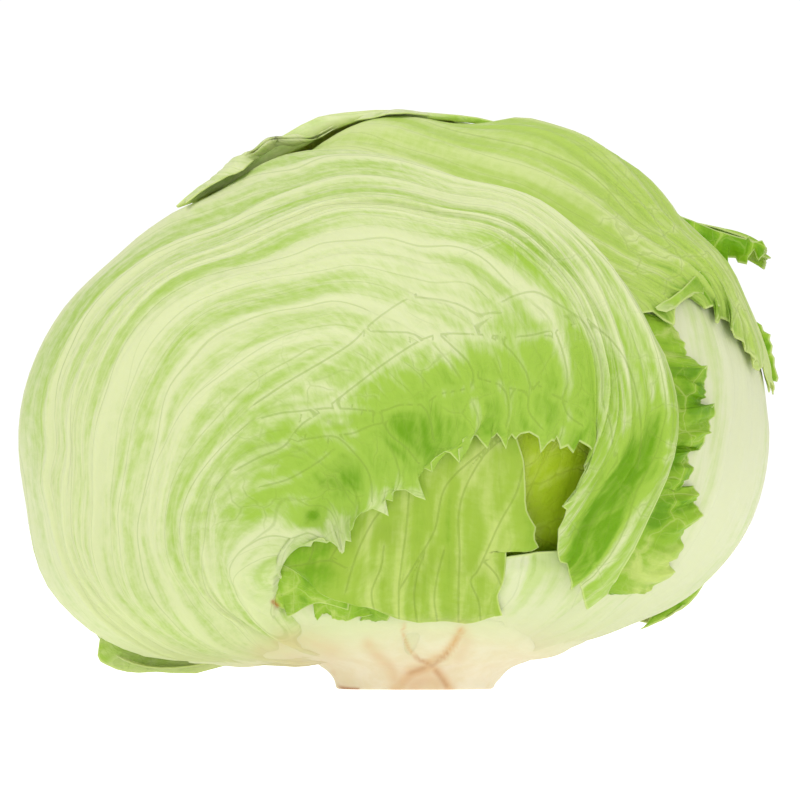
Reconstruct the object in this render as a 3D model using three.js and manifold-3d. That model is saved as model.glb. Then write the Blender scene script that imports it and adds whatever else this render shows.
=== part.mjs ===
// A head of crisphead lettuce standing on the cut face of its stem.
// Millimetres, +Z up. The origin is the middle of the cut face, and the front of the head looks towards -Y.
//
// The head is a stack of leaves over a tight heart. Every surface is a height above one egg-like skin, measured
// along rays from the head's centre, so leaves that lie on each other can't cross. A direction from the centre is
// given by its bearing, the angle round the front view from +X towards +Z, and its reach, the angle away from the
// front: 0 degrees is the front of the head, 90 its outline in the front view and 180 its back.
import * as THREE from "three";
import { mergeVertices } from "three/addons/utils/BufferGeometryUtils.js";
import Module from "manifold-3d";

const wasm = await Module();
wasm.setup();

// The skin of the head
const HEAD_CENTRE = new THREE.Vector3(-5, 0, 66);
// Radius of the front view every 15 degrees of bearing
const OUTLINE_RADII = [
  85.2, 82.3, 78.9, 74.2, 70.4, 65.0, 63.3, 61.8, 60.0, 61.2, 69.6, 78.8,
  85.2, 87.8, 90.3, 83.3, 69.6, 62.6, 60.0, 61.2, 67.4, 74.6, 82.4, 86.4,
];
const FRONT_DEPTH = 74;
const BACK_DEPTH = 70;
const BASE_HOLLOW = 8; // the skin is drawn in by this much behind the stem, where the leaves' bases lie many deep

// The leaves
const BLADE = 1.2; // thickness of a blade
const BASE_EXTRA = 0.7; // more than that where a leaf joins the stem
const LEAF_GAP = 1.3; // free space between a leaf and the one under it
const DRAPE_START = 3; // how far past the edge of the leaf under it a leaf starts to come down
const DRAPE_SLOPE = 0.35; // and how fast
const BLEND = 0.8; // rounding where one leaf passes over the edge of another
const RIB_HEIGHT = 0.7;
const RUFFLE_HEIGHT = 1.6;
const COVERED_RELIEF = 0.2; // share of a leaf's relief that is left where another leaf lies on it
const MEAN_RADIUS = 75;

// The heart
const HEART_DEPTH = 9; // below the skin
const HEART_STEP = 1.2; // height of the leaf edges on the heart
const HOLLOW = { bearing: 318, reach: 40, radius: 20, depth: 8 }; // the dent behind the front leaves

// The stem: radius and height of its profile, from the cut face to the tip of the core inside the heart
const STEM_PROFILE = [
  [0, 0], [17.7, 0], [18.5, 0.8], [18.2, 3], [18.8, 5.2], [20.6, 7.6], [21.6, 10],
  [19.5, 15], [15.5, 30], [10, 44], [5, 52], [0, 54],
];
const STEM_SIDES = 24;
const STEM_GAP = 0.35; // between the stem and what surrounds it
const LEAF_ROOT = { radius: 12, height: 7 }; // where a leaf's lines start, inside the stem

const radians = THREE.MathUtils.degToRad;
const { smoothstep, clamp } = THREE.MathUtils;

// Unit vector of a bearing and a reach in degrees.
function direction([bearing, reach]) {
  const b = radians(bearing);
  const r = radians(reach);
  return new THREE.Vector3(Math.sin(r) * Math.cos(b), -Math.cos(r), Math.sin(r) * Math.sin(b));
}

// Radius of the front view at a bearing in radians, smooth through OUTLINE_RADII.
function outlineRadius(bearing) {
  const count = OUTLINE_RADII.length;
  const at = ((bearing / (2 * Math.PI)) * count + count) % count;
  const first = Math.floor(at);
  const f = at - first;
  const [a, b, c, d] = [-1, 0, 1, 2].map((k) => OUTLINE_RADII[(first + k + count) % count]);
  return b + 0.5 * f * (c - a + f * (2 * a - 5 * b + 4 * c - d + f * (3 * (b - c) + d - a)));
}

// Semi-axes of the skin for a direction: across the view and along it.
function semiAxes(e) {
  return [outlineRadius(Math.atan2(e.z, e.x)), e.y < 0 ? FRONT_DEPTH : BACK_DEPTH];
}

// Angle in degrees between a direction and the one straight down to the stem.
function fromStem(e) {
  return THREE.MathUtils.radToDeg(Math.acos(clamp(-e.z, -1, 1)));
}

// The point at a height above the skin in a direction.
function pointAt(e, height) {
  const [across, along] = semiAxes(e);
  const p = new THREE.Vector3(e.x * across, e.y * along, e.z * across);
  const hollow = BASE_HOLLOW * (1 - smoothstep(fromStem(e), 15, 45)) * smoothstep(e.y, -0.1, 0.2);
  return p.multiplyScalar(1 + (height - hollow) / p.length()).add(HEAD_CENTRE);
}

// The direction whose skin point lies on the ray to a point.
function directionTo(point) {
  const d = point.clone().sub(HEAD_CENTRE);
  const [across, along] = semiAxes(d);
  return new THREE.Vector3(d.x / across, d.y / along, d.z / across).normalize();
}

// Where a leaf starts in the stem, at an angle round the stem from +X towards +Y.
function rootDirection(angle) {
  const a = radians(angle);
  const { radius, height } = LEAF_ROOT;
  return directionTo(new THREE.Vector3(radius * Math.cos(a), radius * Math.sin(a), height));
}

function smoothMax(a, b) {
  return Math.max(a, b) + Math.max(BLEND - Math.abs(a - b), 0) ** 2 / (4 * BLEND);
}

function bump(e, { bearing, reach, radius, depth }) {
  const distance = e.distanceTo(direction([bearing, reach])) * MEAN_RADIUS;
  return depth * Math.exp(-((distance / radius) ** 2));
}

function heartHeight(e) {
  return -HEART_DEPTH - bump(e, HOLLOW);
}

// Thickness of any leaf: a blade that grows thicker towards the stem.
function thicknessAt(e) {
  return BLADE + BASE_EXTRA * (1 - smoothstep(fromStem(e), 16, 55));
}

// The leaves from the innermost to the outermost. A leaf is a fan of lines that follow its ribs from its base to its
// edge; stem is the angles round the stem between which they start, for the leaves that reach it. floor is the
// lowest height of the outer face, and a sunken leaf follows the dent in the heart too.
const LEAVES = [
  {
    name: "heart_leaf", colour: 0xa3b838, columns: 10, rows: 8, floor: -7, sunken: true,
    lines: [
      [[290, 55], [302, 34], [324, 20], [0, 17]],
      [[298, 58], [313, 37], [334, 26], [2, 24]],
      [[309, 59], [322, 42], [340, 33], [0, 32]],
      [[317, 59], [330, 47], [343, 40], [0, 38]],
    ],
  },
  {
    name: "pale_base_leaf", colour: 0xe6e6c4, columns: 10, rows: 7, floor: -2.5, stem: [222, 264],
    lines: [
      [[249, 66], [239, 54], [229, 38]],
      [[256, 63], [247, 50], [238, 35]],
      [[264, 65], [259, 50], [254, 35]],
      [[273, 66], [272, 51], [272, 36]],
    ],
  },
  {
    name: "inner_base_leaf", colour: 0xdde2a8, columns: 10, rows: 7, floor: -2.5, sunken: true, stem: [262, 298],
    lines: [
      [[270, 69], [277, 53], [284, 42]],
      [[284, 67], [296, 54], [306, 47]],
      [[294, 70], [307, 58], [317, 50]],
      [[299, 76], [314, 65], [325, 57]],
    ],
  },
  {
    name: "right_leaf", colour: 0xe4e9c6, columns: 22, rows: 12, floor: 0, stem: [282, 372],
    lines: [
      [[294, 70], [310, 57], [326, 46], [345, 38], [5, 40], [19, 44]],
      [[301, 73], [321, 61], [340, 52], [0, 51], [20, 56]],
      [[306, 79], [328, 66], [348, 63], [5, 68], [23, 70]],
      [[310, 88], [329, 85], [347, 83], [4, 84], [22, 84]],
      [[305, 97], [325, 101], [345, 104], [5, 104], [25, 100]],
      [[300, 107], [320, 117], [343, 124], [8, 124], [30, 118]],
    ],
  },
  {
    name: "frilled_leaf", colour: 0x86b02c, columns: 40, rows: 4, floor: -1,
    teeth: { count: 10, length: 4 }, ruffle: 3,
    lines: [
      [[26, 40], [20, 46], [15, 52]],
      [[11, 36], [8, 45], [6, 54]],
      [[356, 35], [356, 44], [357, 55]],
      [[346, 36], [347, 43], [349, 51]],
      [[335, 38], [338, 48], [341, 57]],
      [[326, 43], [327, 54], [330, 65]],
      [[318, 46], [318, 56], [319, 65]],
    ],
  },
  {
    name: "small_frill_leaf", colour: 0x9fc02c, columns: 12, rows: 3, floor: -5,
    teeth: { count: 4, length: 1.5 },
    lines: [
      [[246, 39], [249, 48], [250, 54]],
      [[254, 40], [255, 49], [255, 56]],
      [[264, 44], [263, 52], [262, 56]],
      [[272, 47], [269, 55], [267, 58]],
    ],
  },
  {
    name: "tucked_leaf", colour: 0x5f8f14, columns: 10, rows: 6, floor: -4,
    lines: [
      [[217, 26], [231, 38], [240, 51]],
      [[224, 23], [236, 38], [244, 54]],
      [[234, 22], [244, 38], [249, 48]],
      [[254, 22], [257, 37], [258, 50]],
    ],
  },
  {
    name: "torn_leaf", colour: 0x9dc04c, columns: 20, rows: 9, floor: -2.3,
    lines: [
      [[180, 11], [221, 22], [234, 38]],
      [[159, 7], [238, 20], [250, 48]],
      [[99, 5], [260, 20], [264, 53]],
      [[44, 8], [286, 21], [275, 57]],
      [[23, 13], [309, 22], [287, 59]],
      [[10, 18], [342, 21], [323, 29], [314, 38], [307, 39], [302, 46], [297, 56]],
    ],
  },
  {
    name: "shoulder_leaf", colour: 0xb4cf6c, columns: 20, rows: 28, floor: -2.8, stem: [172, 136],
    teeth: { count: 10, length: 4 }, ruffle: 2,
    lines: [
      [[244, 108], [215, 108], [185, 105], [155, 97], [130, 84], [108, 66], [65, 43], [34, 47], [22, 50], [19, 50]],
      [[246, 112], [215, 113], [185, 113], [155, 108], [130, 98], [105, 80], [65, 56], [36, 56], [23, 61], [21, 66]],
      [[248, 121], [215, 124], [185, 124], [155, 119], [130, 110], [103, 94], [64, 74], [36, 70], [20, 69], [15, 69]],
      [[250, 131], [216, 135], [185, 135], [155, 131], [127, 123], [98, 108], [66, 92], [38, 82], [18, 76], [6, 75]],
      [[254, 142], [218, 148], [183, 148], [150, 145], [118, 136], [88, 123], [58, 110], [34, 100], [14, 94], [2, 92]],
    ],
  },
  {
    name: "upper_tip_leaf", colour: 0x7fae2c, columns: 12, rows: 14, floor: -2.3, stem: [100, 84],
    teeth: { count: 4, length: 2.5 },
    lifts: [{ bearing: 21, reach: 98, radius: 9, depth: 8 }],
    lines: [
      [[272, 140], [300, 172], [80, 150], [62, 130], [50, 119], [40, 110], [31, 101], [23, 97]],
      [[276, 140], [320, 165], [54, 146], [48, 129], [41, 119], [35, 110], [28, 102], [22, 98]],
      [[282, 140], [330, 155], [24, 142], [30, 130], [30, 120], [28, 112], [24, 104], [20, 100]],
    ],
  },
  {
    name: "front_wrapper_leaf", colour: 0xbcd878, columns: 32, rows: 26, floor: 0, stem: [238, 165],
    teeth: { count: 16, length: 4 }, ruffle: 3,
    lifts: [[52, 45], [31, 44], [10, 43], [349, 43], [332, 47], [320, 55]].map(
      ([bearing, reach]) => ({ bearing, reach, radius: 13, depth: 3 }),
    ),
    lines: [
      [[254, 67], [247, 60], [241, 52], [238, 46], [236, 39], [235, 34], [235, 31]],
      [[247, 66], [235, 55], [225, 42], [216, 34], [213, 26], [224, 21], [251, 33]],
      [[243, 72], [228, 54], [213, 43], [194, 34], [173, 25], [142, 16], [0, 1], [289, 21]],
      [[239, 76], [222, 59], [204, 50], [182, 42], [153, 39], [113, 30], [57, 21], [16, 18], [342, 19]],
      [[236, 78], [217, 63], [196, 57], [174, 54], [147, 54], [109, 47], [64, 38], [28, 34], [5, 32], [346, 31]],
      [[234, 79], [214, 66], [193, 62], [170, 61], [144, 61], [109, 53], [66, 43], [32, 38], [5, 35], [345, 33], [329, 32]],
      [[232, 80], [212, 71], [190, 70], [167, 72], [142, 71], [110, 62], [76, 50], [45, 44], [18, 39], [353, 37.5], [335, 37], [316, 44]],
      [[245, 100], [225, 108], [205, 113], [185, 115], [165, 112], [145, 103], [122, 88], [100, 71], [72, 55], [57, 51], [39, 48], [21, 44.5], [3, 44.5], [353, 44.5], [338, 44], [325, 48], [316, 53]],
    ],
  },
  {
    name: "left_back_leaf", colour: 0xb2cf78, columns: 20, rows: 14, floor: 0, stem: [150, 114],
    teeth: { count: 5, length: 4 }, ruffle: 2,
    lifts: [{ bearing: 228, reach: 92, radius: 14, depth: 1.5 }],
    lines: [
      [[250, 106], [241, 100], [234, 95], [224, 95], [215, 108], [200, 116], [183, 119], [165, 120], [150, 120]],
      [[249, 108], [238, 108], [225, 110], [208, 118], [188, 125], [166, 127], [144, 127], [130, 128]],
      [[256, 116], [244, 124], [225, 133], [200, 140], [170, 142], [142, 140], [120, 138]],
      [[264, 121], [258, 136], [238, 152], [195, 160], [150, 158], [122, 150], [108, 146]],
      [[271, 123], [274, 145], [285, 168], [130, 176], [110, 165], [103, 158], [98, 152]],
    ],
  },
  {
    name: "right_back_leaf", colour: 0xb2cf78, columns: 20, rows: 14, floor: 0, stem: [22, 58],
    teeth: { count: 5, length: 4 }, ruffle: 2,
    lifts: [{ bearing: 320, reach: 94, radius: 9, depth: 2 }],
    lines: [
      [[294, 118], [307, 118], [316, 108], [320, 97], [328, 98], [336, 111], [355, 117], [12, 117], [26, 116]],
      [[288, 120], [302, 123], [320, 121], [334, 123], [352, 127], [12, 128], [30, 127], [42, 126]],
      [[284, 118], [296, 132], [315, 140], [340, 144], [8, 144], [34, 140], [52, 137]],
      [[279, 122], [286, 142], [305, 158], [345, 164], [15, 162], [45, 154], [62, 148]],
      [[274, 124], [272, 148], [262, 170], [100, 176], [80, 165], [72, 158]],
    ],
  },
  {
    name: "top_back_leaf", colour: 0xa8ca60, columns: 24, rows: 18, floor: 0, stem: [112, 67],
    teeth: { count: 6, length: 1.5 }, roll: 1.8,
    lines: [
      [[249, 112], [231, 124], [206, 132], [178, 134], [156, 127], [144, 112], [137, 98], [133, 82]],
      [[257, 118], [243, 136], [217, 150], [178, 152], [147, 140], [131, 120], [126, 100], [123, 75]],
      [[268, 122], [265, 145], [240, 168], [120, 170], [112, 146], [111, 122], [110, 98], [110, 75]],
      [[277, 122], [285, 145], [310, 166], [50, 168], [85, 146], [92, 122], [94, 98], [95, 80]],
      [[285, 118], [300, 136], [325, 150], [5, 152], [40, 142], [62, 124], [75, 104], [81, 86]],
      [[293, 112], [311, 124], [336, 133], [4, 136], [30, 130], [48, 118], [60, 107], [67, 97]],
    ],
  },
];

// Turns a leaf's lines into curves through unit vectors, with the line's start in the stem.
function leafCurves({ lines, stem }) {
  return lines.map((line, i) => {
    const points = line.map(direction);
    if (stem) points.unshift(rootDirection(stem[0] + ((stem[1] - stem[0]) * i) / (lines.length - 1)));
    return new THREE.CatmullRomCurve3(points, false, "catmullrom", 0.5);
  });
}

// The direction at u across the leaf and v along it, both 0 to 1; past v = 1 the line runs straight on.
function leafDirection(curves, u, v) {
  const across = curves.map((curve) => {
    if (v <= 1) return curve.getPointAt(v);
    return curve.getPointAt(1).addScaledVector(curve.getTangentAt(1), (v - 1) * curve.getLength());
  });
  return new THREE.CatmullRomCurve3(across, false, "centripetal").getPoint(u).normalize();
}

// The leaf's outline as directions, and the chart in which a direction is tested against it.
function leafOutline(curves) {
  const steps = [...Array(20).keys()].map((i) => i / 20);
  const border = [
    ...steps.map((t) => leafDirection(curves, t, 0)),
    ...steps.map((t) => leafDirection(curves, 1, t)),
    ...steps.map((t) => leafDirection(curves, 1 - t, 1)),
    ...steps.map((t) => leafDirection(curves, 0, 1 - t)),
  ];
  const middle = new THREE.Vector3();
  for (const t of steps) for (const s of steps) middle.add(leafDirection(curves, s, t));
  middle.normalize();
  const side = new THREE.Vector3(0, 0, 1).cross(middle).normalize();
  const up = middle.clone().cross(side);
  const chart = (e) => {
    const away = Math.acos(clamp(e.dot(middle), -1, 1));
    const x = e.dot(side);
    const y = e.dot(up);
    const scale = away / (Math.hypot(x, y) || 1);
    return [x * scale, y * scale];
  };
  return { border, chart, flat: border.map(chart) };
}

// How far a direction is outside a leaf's outline, in millimetres on the head; 0 inside it.
function distanceOutside({ border, chart, flat }, e) {
  const [x, y] = chart(e);
  let inside = false;
  let nearest = Infinity;
  const edge = new THREE.Line3();
  const foot = new THREE.Vector3();
  for (let i = 0, j = flat.length - 1; i < flat.length; j = i, i += 1) {
    const [xi, yi] = flat[i];
    const [xj, yj] = flat[j];
    if (yi > y !== yj > y && x < ((xj - xi) * (y - yi)) / (yj - yi) + xi) inside = !inside;
    edge.set(border[i], border[j]).closestPointToPoint(e, true, foot);
    nearest = Math.min(nearest, foot.distanceTo(e));
  }
  return inside ? 0 : nearest * MEAN_RADIUS;
}

for (const leaf of LEAVES) {
  leaf.curves = leafCurves(leaf);
  leaf.outline = leafOutline(leaf.curves);
  leaf.reach = leaf.teeth?.length ?? 0;
}

function liftAt(leaf, e) {
  return (leaf.lifts ?? []).reduce((sum, lift) => sum + bump(e, lift), 0);
}

// Height of the inner face of leaf number k: it lies on the heart and on every leaf under it, and comes down
// beside their edges.
function restingHeight(k, e) {
  const thickness = thicknessAt(e);
  const outer = [];
  for (let n = 0; n <= k; n += 1) {
    const floor = LEAVES[n].floor - (LEAVES[n].sunken ? bump(e, HOLLOW) : 0);
    let inner = smoothMax(floor - thickness, heartHeight(e) + LEAF_GAP);
    for (let m = 0; m < n; m += 1) {
      const clear = Math.max(0, distanceOutside(LEAVES[m].outline, e) - LEAVES[m].reach - DRAPE_START);
      inner = smoothMax(inner, outer[m] + LEAF_GAP - DRAPE_SLOPE * clear);
    }
    if (n === k) return inner;
    outer.push(inner + thickness + liftAt(LEAVES[n], e));
  }
  return 0;
}

// 1 where no other leaf lies on leaf number k, falling to 0 towards and under a leaf that does.
function openAbove(k, e) {
  return LEAVES.slice(k + 1).reduce(
    (open, leaf) => open * smoothstep(distanceOutside(leaf.outline, e), 1.5 + leaf.reach, 9 + leaf.reach),
    1,
  );
}

// Length in millimetres of the tooth at u on the leaf's edge: every third tooth is a long one.
function toothAt(teeth, u) {
  const at = u * teeth.count;
  const long = Math.floor(at) % 3 === 1 ? 1 : 0.5;
  return teeth.length * long * (1 - Math.abs(2 * (at % 1) - 1));
}

// Height that a leaf adds to where it rests: its ribs, its waved edge and a rolled end.
function reliefAt(leaf, u, v, open) {
  const ribs = leaf.columns / 5;
  let height = RIB_HEIGHT * (0.5 + 0.5 * Math.cos(2 * Math.PI * ribs * u)) * smoothstep(v, 0.05, 0.3);
  height *= 1 - 0.7 * smoothstep(v, 0.6, 1);
  if (leaf.ruffle) {
    height += RUFFLE_HEIGHT * smoothstep(v, 0.75, 1) * (0.5 + 0.5 * Math.sin(2 * Math.PI * leaf.ruffle * u + 1));
  }
  height *= COVERED_RELIEF + (1 - COVERED_RELIEF) * open;
  if (leaf.roll) height += leaf.roll * Math.sin(Math.PI * smoothstep(v, 0.86, 1.02));
  return height;
}

// A closed leaf: the same grid of triangles on its inner and outer face, joined round the border.
function leafGeometry(leaf, k) {
  const { curves, columns, rows, teeth } = leaf;
  const faces = [[], []];
  for (let j = 0; j <= rows; j += 1) {
    for (let i = 0; i <= columns; i += 1) {
      const u = i / columns;
      let v = j / rows;
      if (teeth) {
        const length = curves[Math.round(u * (curves.length - 1))].getLength() * MEAN_RADIUS;
        v += (toothAt(teeth, u) / length) * v ** rows;
      }
      const e = leafDirection(curves, u, v);
      const inner = restingHeight(k, e) + reliefAt(leaf, u, v, openAbove(k, e)) + liftAt(leaf, e);
      faces[0].push(pointAt(e, inner));
      faces[1].push(pointAt(e, inner + thicknessAt(e)));
    }
  }
  return closedGrid(faces[0], faces[1], columns, rows);
}

function closedGrid(inner, outer, columns, rows) {
  const width = columns + 1;
  const index = [];
  const offset = inner.length;
  const quad = (a, b, c, d) => index.push(a, b, c, a, c, d);
  for (let j = 0; j < rows; j += 1) {
    for (let i = 0; i < columns; i += 1) {
      const a = j * width + i;
      quad(a, a + width, a + width + 1, a + 1);
      quad(offset + a, offset + a + 1, offset + a + width + 1, offset + a + width);
    }
  }
  const border = [];
  for (let i = 0; i < columns; i += 1) border.push(i);
  for (let j = 0; j < rows; j += 1) border.push(j * width + columns);
  for (let i = columns; i > 0; i -= 1) border.push(rows * width + i);
  for (let j = rows; j > 0; j -= 1) border.push(j * width);
  border.forEach((a, n) => {
    const b = border[(n + 1) % border.length];
    quad(a, b, offset + b, offset + a);
  });
  return new THREE.BufferGeometry().setFromPoints([...inner, ...outer]).setIndex(index);
}

// A solid from a closed geometry, turned the right way round.
function solidOf(geometry) {
  const bare = new THREE.BufferGeometry().setAttribute("position", geometry.getAttribute("position"));
  bare.setIndex(geometry.index);
  const merged = mergeVertices(bare, 1e-4);
  const triVerts = new Uint32Array(merged.index.array);
  const vertProperties = merged.attributes.position.array;
  const build = () => new wasm.Manifold(new wasm.Mesh({ numProp: 3, vertProperties, triVerts }));
  const made = build();
  if (made.volume() > 0) return made;
  for (let i = 0; i < triVerts.length; i += 3) {
    [triVerts[i + 1], triVerts[i + 2]] = [triVerts[i + 2], triVerts[i + 1]];
  }
  return build();
}

// The largest body of a solid, so that scraps left by a cut are dropped.
function largestBody(solid) {
  return solid.decompose().sort((a, b) => b.volume() - a.volume())[0];
}

function meshOf(name, solid, colour, roughness = 0.5) {
  const { vertProperties, triVerts } = solid.getMesh();
  const geometry = new THREE.BufferGeometry();
  geometry.setAttribute("position", new THREE.BufferAttribute(vertProperties, 3));
  geometry.setIndex(new THREE.BufferAttribute(triVerts, 1));
  geometry.computeVertexNormals();
  const mesh = new THREE.Mesh(geometry, new THREE.MeshStandardMaterial({ color: colour, roughness }));
  mesh.name = name;
  return mesh;
}

// The stem, or the space it needs when grown by a gap all round.
function stemSolid(grown = 0) {
  const profile = STEM_PROFILE.map(([r, z]) => {
    const radius = r > 0 ? r + grown : 0;
    const height = z > 0 ? z + grown : z - 2 * grown;
    return new THREE.Vector2(radius, height);
  });
  const lathe = new THREE.LatheGeometry(profile, STEM_SIDES).rotateX(Math.PI / 2);
  return solidOf(lathe);
}

// The heart: a tight ball of inner leaves, whose edges wind round it as low steps, with a socket for the stem.
function heartSolid(socket) {
  const ball = new THREE.IcosahedronGeometry(1, 5);
  const position = ball.getAttribute("position");
  const e = new THREE.Vector3();
  for (let i = 0; i < position.count; i += 1) {
    e.fromBufferAttribute(position, i).normalize();
    const turn = (Math.atan2(e.y, e.x) / (2 * Math.PI)) * 5 + e.z * 0.8 + 10;
    const edge = 1 - (turn % 1);
    const step = HEART_STEP * edge * (1 - Math.abs(e.z) ** 4);
    const p = pointAt(e, heartHeight(e) - step);
    position.setXYZ(i, p.x, p.y, p.z);
  }
  return largestBody(solidOf(ball).subtract(socket));
}

const head = new THREE.Group();
const socket = stemSolid(STEM_GAP);
head.add(meshOf("stem", stemSolid(), 0xece2c0, 0.6));
head.add(meshOf("heart", heartSolid(socket), 0xd6de9a));
LEAVES.forEach((leaf, k) => {
  let solid = solidOf(leafGeometry(leaf, k));
  if (leaf.stem) solid = largestBody(solid.subtract(socket));
  head.add(meshOf(leaf.name, solid, leaf.colour));
});

export default head;
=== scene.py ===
"""A head of crisphead lettuce standing on its cut stem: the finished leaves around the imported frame.

The leaves are worked out on the same skin as the solids they replace. A place on the skin is a direction
from the head's centre, given by its bearing, the angle round the front view from +X towards +Z, and its
reach, the angle away from the front. Shapes are in millimetres until shell() writes them into a mesh in
metres.
"""

import bpy
import numpy as np
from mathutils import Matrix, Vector


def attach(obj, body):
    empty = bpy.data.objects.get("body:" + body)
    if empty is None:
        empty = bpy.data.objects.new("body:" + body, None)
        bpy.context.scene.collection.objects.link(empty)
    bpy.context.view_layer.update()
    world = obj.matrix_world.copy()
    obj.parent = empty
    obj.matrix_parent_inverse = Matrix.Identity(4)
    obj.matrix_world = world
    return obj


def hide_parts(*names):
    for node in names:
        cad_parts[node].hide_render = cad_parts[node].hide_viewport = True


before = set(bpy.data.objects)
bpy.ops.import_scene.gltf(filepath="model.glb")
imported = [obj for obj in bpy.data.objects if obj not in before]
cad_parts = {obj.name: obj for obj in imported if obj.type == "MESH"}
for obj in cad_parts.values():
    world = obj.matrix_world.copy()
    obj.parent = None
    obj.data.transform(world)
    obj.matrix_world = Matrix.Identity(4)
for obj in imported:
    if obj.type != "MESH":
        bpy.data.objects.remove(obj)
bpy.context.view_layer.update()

MM = 0.001

# The skin of the head, as in the solids
HEAD_CENTRE = np.array([-5.0, 0.0, 66.0])
OUTLINE_RADII = np.array([
    85.2, 82.3, 78.9, 74.2, 70.4, 65.0, 63.3, 61.8, 60.0, 61.2, 69.6, 78.8,
    85.2, 87.8, 90.3, 83.3, 69.6, 62.6, 60.0, 61.2, 67.4, 74.6, 82.4, 86.4,
])
FRONT_DEPTH = 74.0
BACK_DEPTH = 70.0
BASE_HOLLOW = 8.0
MEAN_RADIUS = 75.0
HEART_DEPTH = 9.0
HOLLOW = (318, 40, 20, 8)  # the dent behind the front leaves: bearing, reach, radius and depth
LEAF_ROOT = (12.0, 7.0)  # radius and height at which a leaf's lines start inside the stem

# The front view: 800 x 800 pixels, in which places on the leaves' edges and marks are given
VIEW_SCALE = 0.2285  # millimetres a pixel
VIEW_X, VIEW_Z = 414.9, 689.0  # the pixel of the origin

# How the leaves lie
BLADE = 0.75  # thickness of a leaf
EDGE_BLADE = 0.45  # share of that at its edge
BASE_EXTRA = 0.9  # more than that at its base
LEAF_GAP = 0.7
DRAPE_START = 1.0
DRAPE_SLOPE = 0.4
BLEND = 0.8
COARSE = 41  # points each way on the grid on which the drape is worked out

# Relief of the leaves
RIB_HEIGHT = 0.8
PLEAT_HEIGHT, PLEAT_WIDTH = 0.7, 11.0
CRUMPLE_HEIGHT = 0.22
SWELL_HEIGHT, SWELL_WIDTH = 0.35, 14.0
COVERED_RELIEF = 0.12  # share of it that is left under another leaf
EDGE_REACH = 10.0  # how far back from the edge the mesh follows the edge's own shape
SIDE_REACH = 0.1  # the same from the sides, as a share of the width

# Patterns
SEEDS_APART = 300  # millimetres between two leaves' places in the pattern along the flow
VEIN_REACH = 4.0  # the farthest from a drawn vein that its mask tells apart
GLOW_REACH = (0.004, 0.005, 0.0015)  # metres that red, green and blue light go in a leaf
STEM_GLOW_REACH = (0.004, 0.003, 0.002)


def smoothstep(x, low, high):
    t = np.clip((x - low) / (high - low), 0.0, 1.0)
    return t * t * (3.0 - 2.0 * t)


def unit(v):
    return v / np.linalg.norm(v, axis=-1, keepdims=True)


def direction(places):
    """Unit vectors of (bearing, reach) pairs in degrees."""
    bearing, reach = np.radians(np.asarray(places, float)).T
    return np.stack([np.sin(reach) * np.cos(bearing), -np.cos(reach), np.sin(reach) * np.sin(bearing)], -1)


def semi_axes(e):
    """Radius of the front view at each direction's bearing, by a smooth curve through OUTLINE_RADII,
    and the depth."""
    count = len(OUTLINE_RADII)
    at = np.mod(np.arctan2(e[..., 2], e[..., 0]) / (2 * np.pi) * count, count)
    first = np.floor(at).astype(int)
    f = at - first
    a, b, c, d = (OUTLINE_RADII[(first + k) % count] for k in (-1, 0, 1, 2))
    across = b + 0.5 * f * (c - a + f * (2 * a - 5 * b + 4 * c - d + f * (3 * (b - c) + d - a)))
    return across, np.where(e[..., 1] < 0, FRONT_DEPTH, BACK_DEPTH)


def from_stem(e):
    """Angle in degrees between each direction and straight down."""
    return np.degrees(np.arccos(np.clip(-e[..., 2], -1, 1)))


def point_at(e, height):
    """The points at a height above the skin, along the rays from the head's centre."""
    across, along = semi_axes(e)
    p = np.stack([e[..., 0] * across, e[..., 1] * along, e[..., 2] * across], -1)
    drawn_in = BASE_HOLLOW * (1 - smoothstep(from_stem(e), 15, 45)) * smoothstep(e[..., 1], -0.1, 0.2)
    return HEAD_CENTRE + p * (1 + (height - drawn_in) / np.linalg.norm(p, axis=-1))[..., None]


def direction_to(point):
    """The direction whose ray on the skin passes through a point."""
    d = np.asarray(point, float) - HEAD_CENTRE
    across, along = semi_axes(d)
    return unit(np.array([d[0] / across, d[1] / along, d[2] / across]))


def root_direction(angle):
    """Where a leaf starts in the stem, at an angle round the stem from +X towards +Y."""
    radius, height = LEAF_ROOT
    a = np.radians(angle)
    return direction_to((radius * np.cos(a), radius * np.sin(a), height))


def bump(e, spot):
    """A round hill on the skin: depth times exp(-(distance / radius)^2)."""
    bearing, reach, radius, depth = spot
    distance = np.linalg.norm(e - direction([(bearing, reach)])[0], axis=-1) * MEAN_RADIUS
    return depth * np.exp(-((distance / radius) ** 2))


def segment_distance(e, a, b):
    """Distance from each direction to the straight segment from a to b."""
    ab = b - a
    t = np.clip(((e - a) @ ab) / (ab @ ab), 0, 1)
    return np.linalg.norm(e - (a + t[..., None] * ab), axis=-1)


def in_view(places):
    """Millimetres (x, z) of pixel places."""
    return (np.asarray(places, float) - (VIEW_X, VIEW_Z)) * (VIEW_SCALE, -VIEW_SCALE)


def beside(points, places):
    """How far points are from a line through pixel places, seen from the front: positive on its right."""
    xz = points[..., [0, 2]]
    line = in_view(places)
    nearest = np.full(points.shape[:-1], np.inf)
    side = np.ones(points.shape[:-1])
    for a, b in zip(line[:-1], line[1:]):
        ab = b - a
        away = xz - a
        t = np.clip(away @ ab / (ab @ ab), 0, 1)
        distance = np.linalg.norm(away - t[..., None] * ab, axis=-1)
        turn = ab[1] * away[..., 0] - ab[0] * away[..., 1]
        side = np.where(distance < nearest, np.where(turn < 0, -1.0, 1.0), side)
        nearest = np.minimum(nearest, distance)
    return nearest * side


def crease(points, places, left, right, height):
    """A hill or dent along a line of the front view, its Gaussian flanks left and right millimetres
    wide."""
    away = beside(points, places)
    front = smoothstep(-points[..., 1], 0, 12)
    return height * front * np.exp(-((away / np.where(away < 0, left, right)) ** 2))


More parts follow.
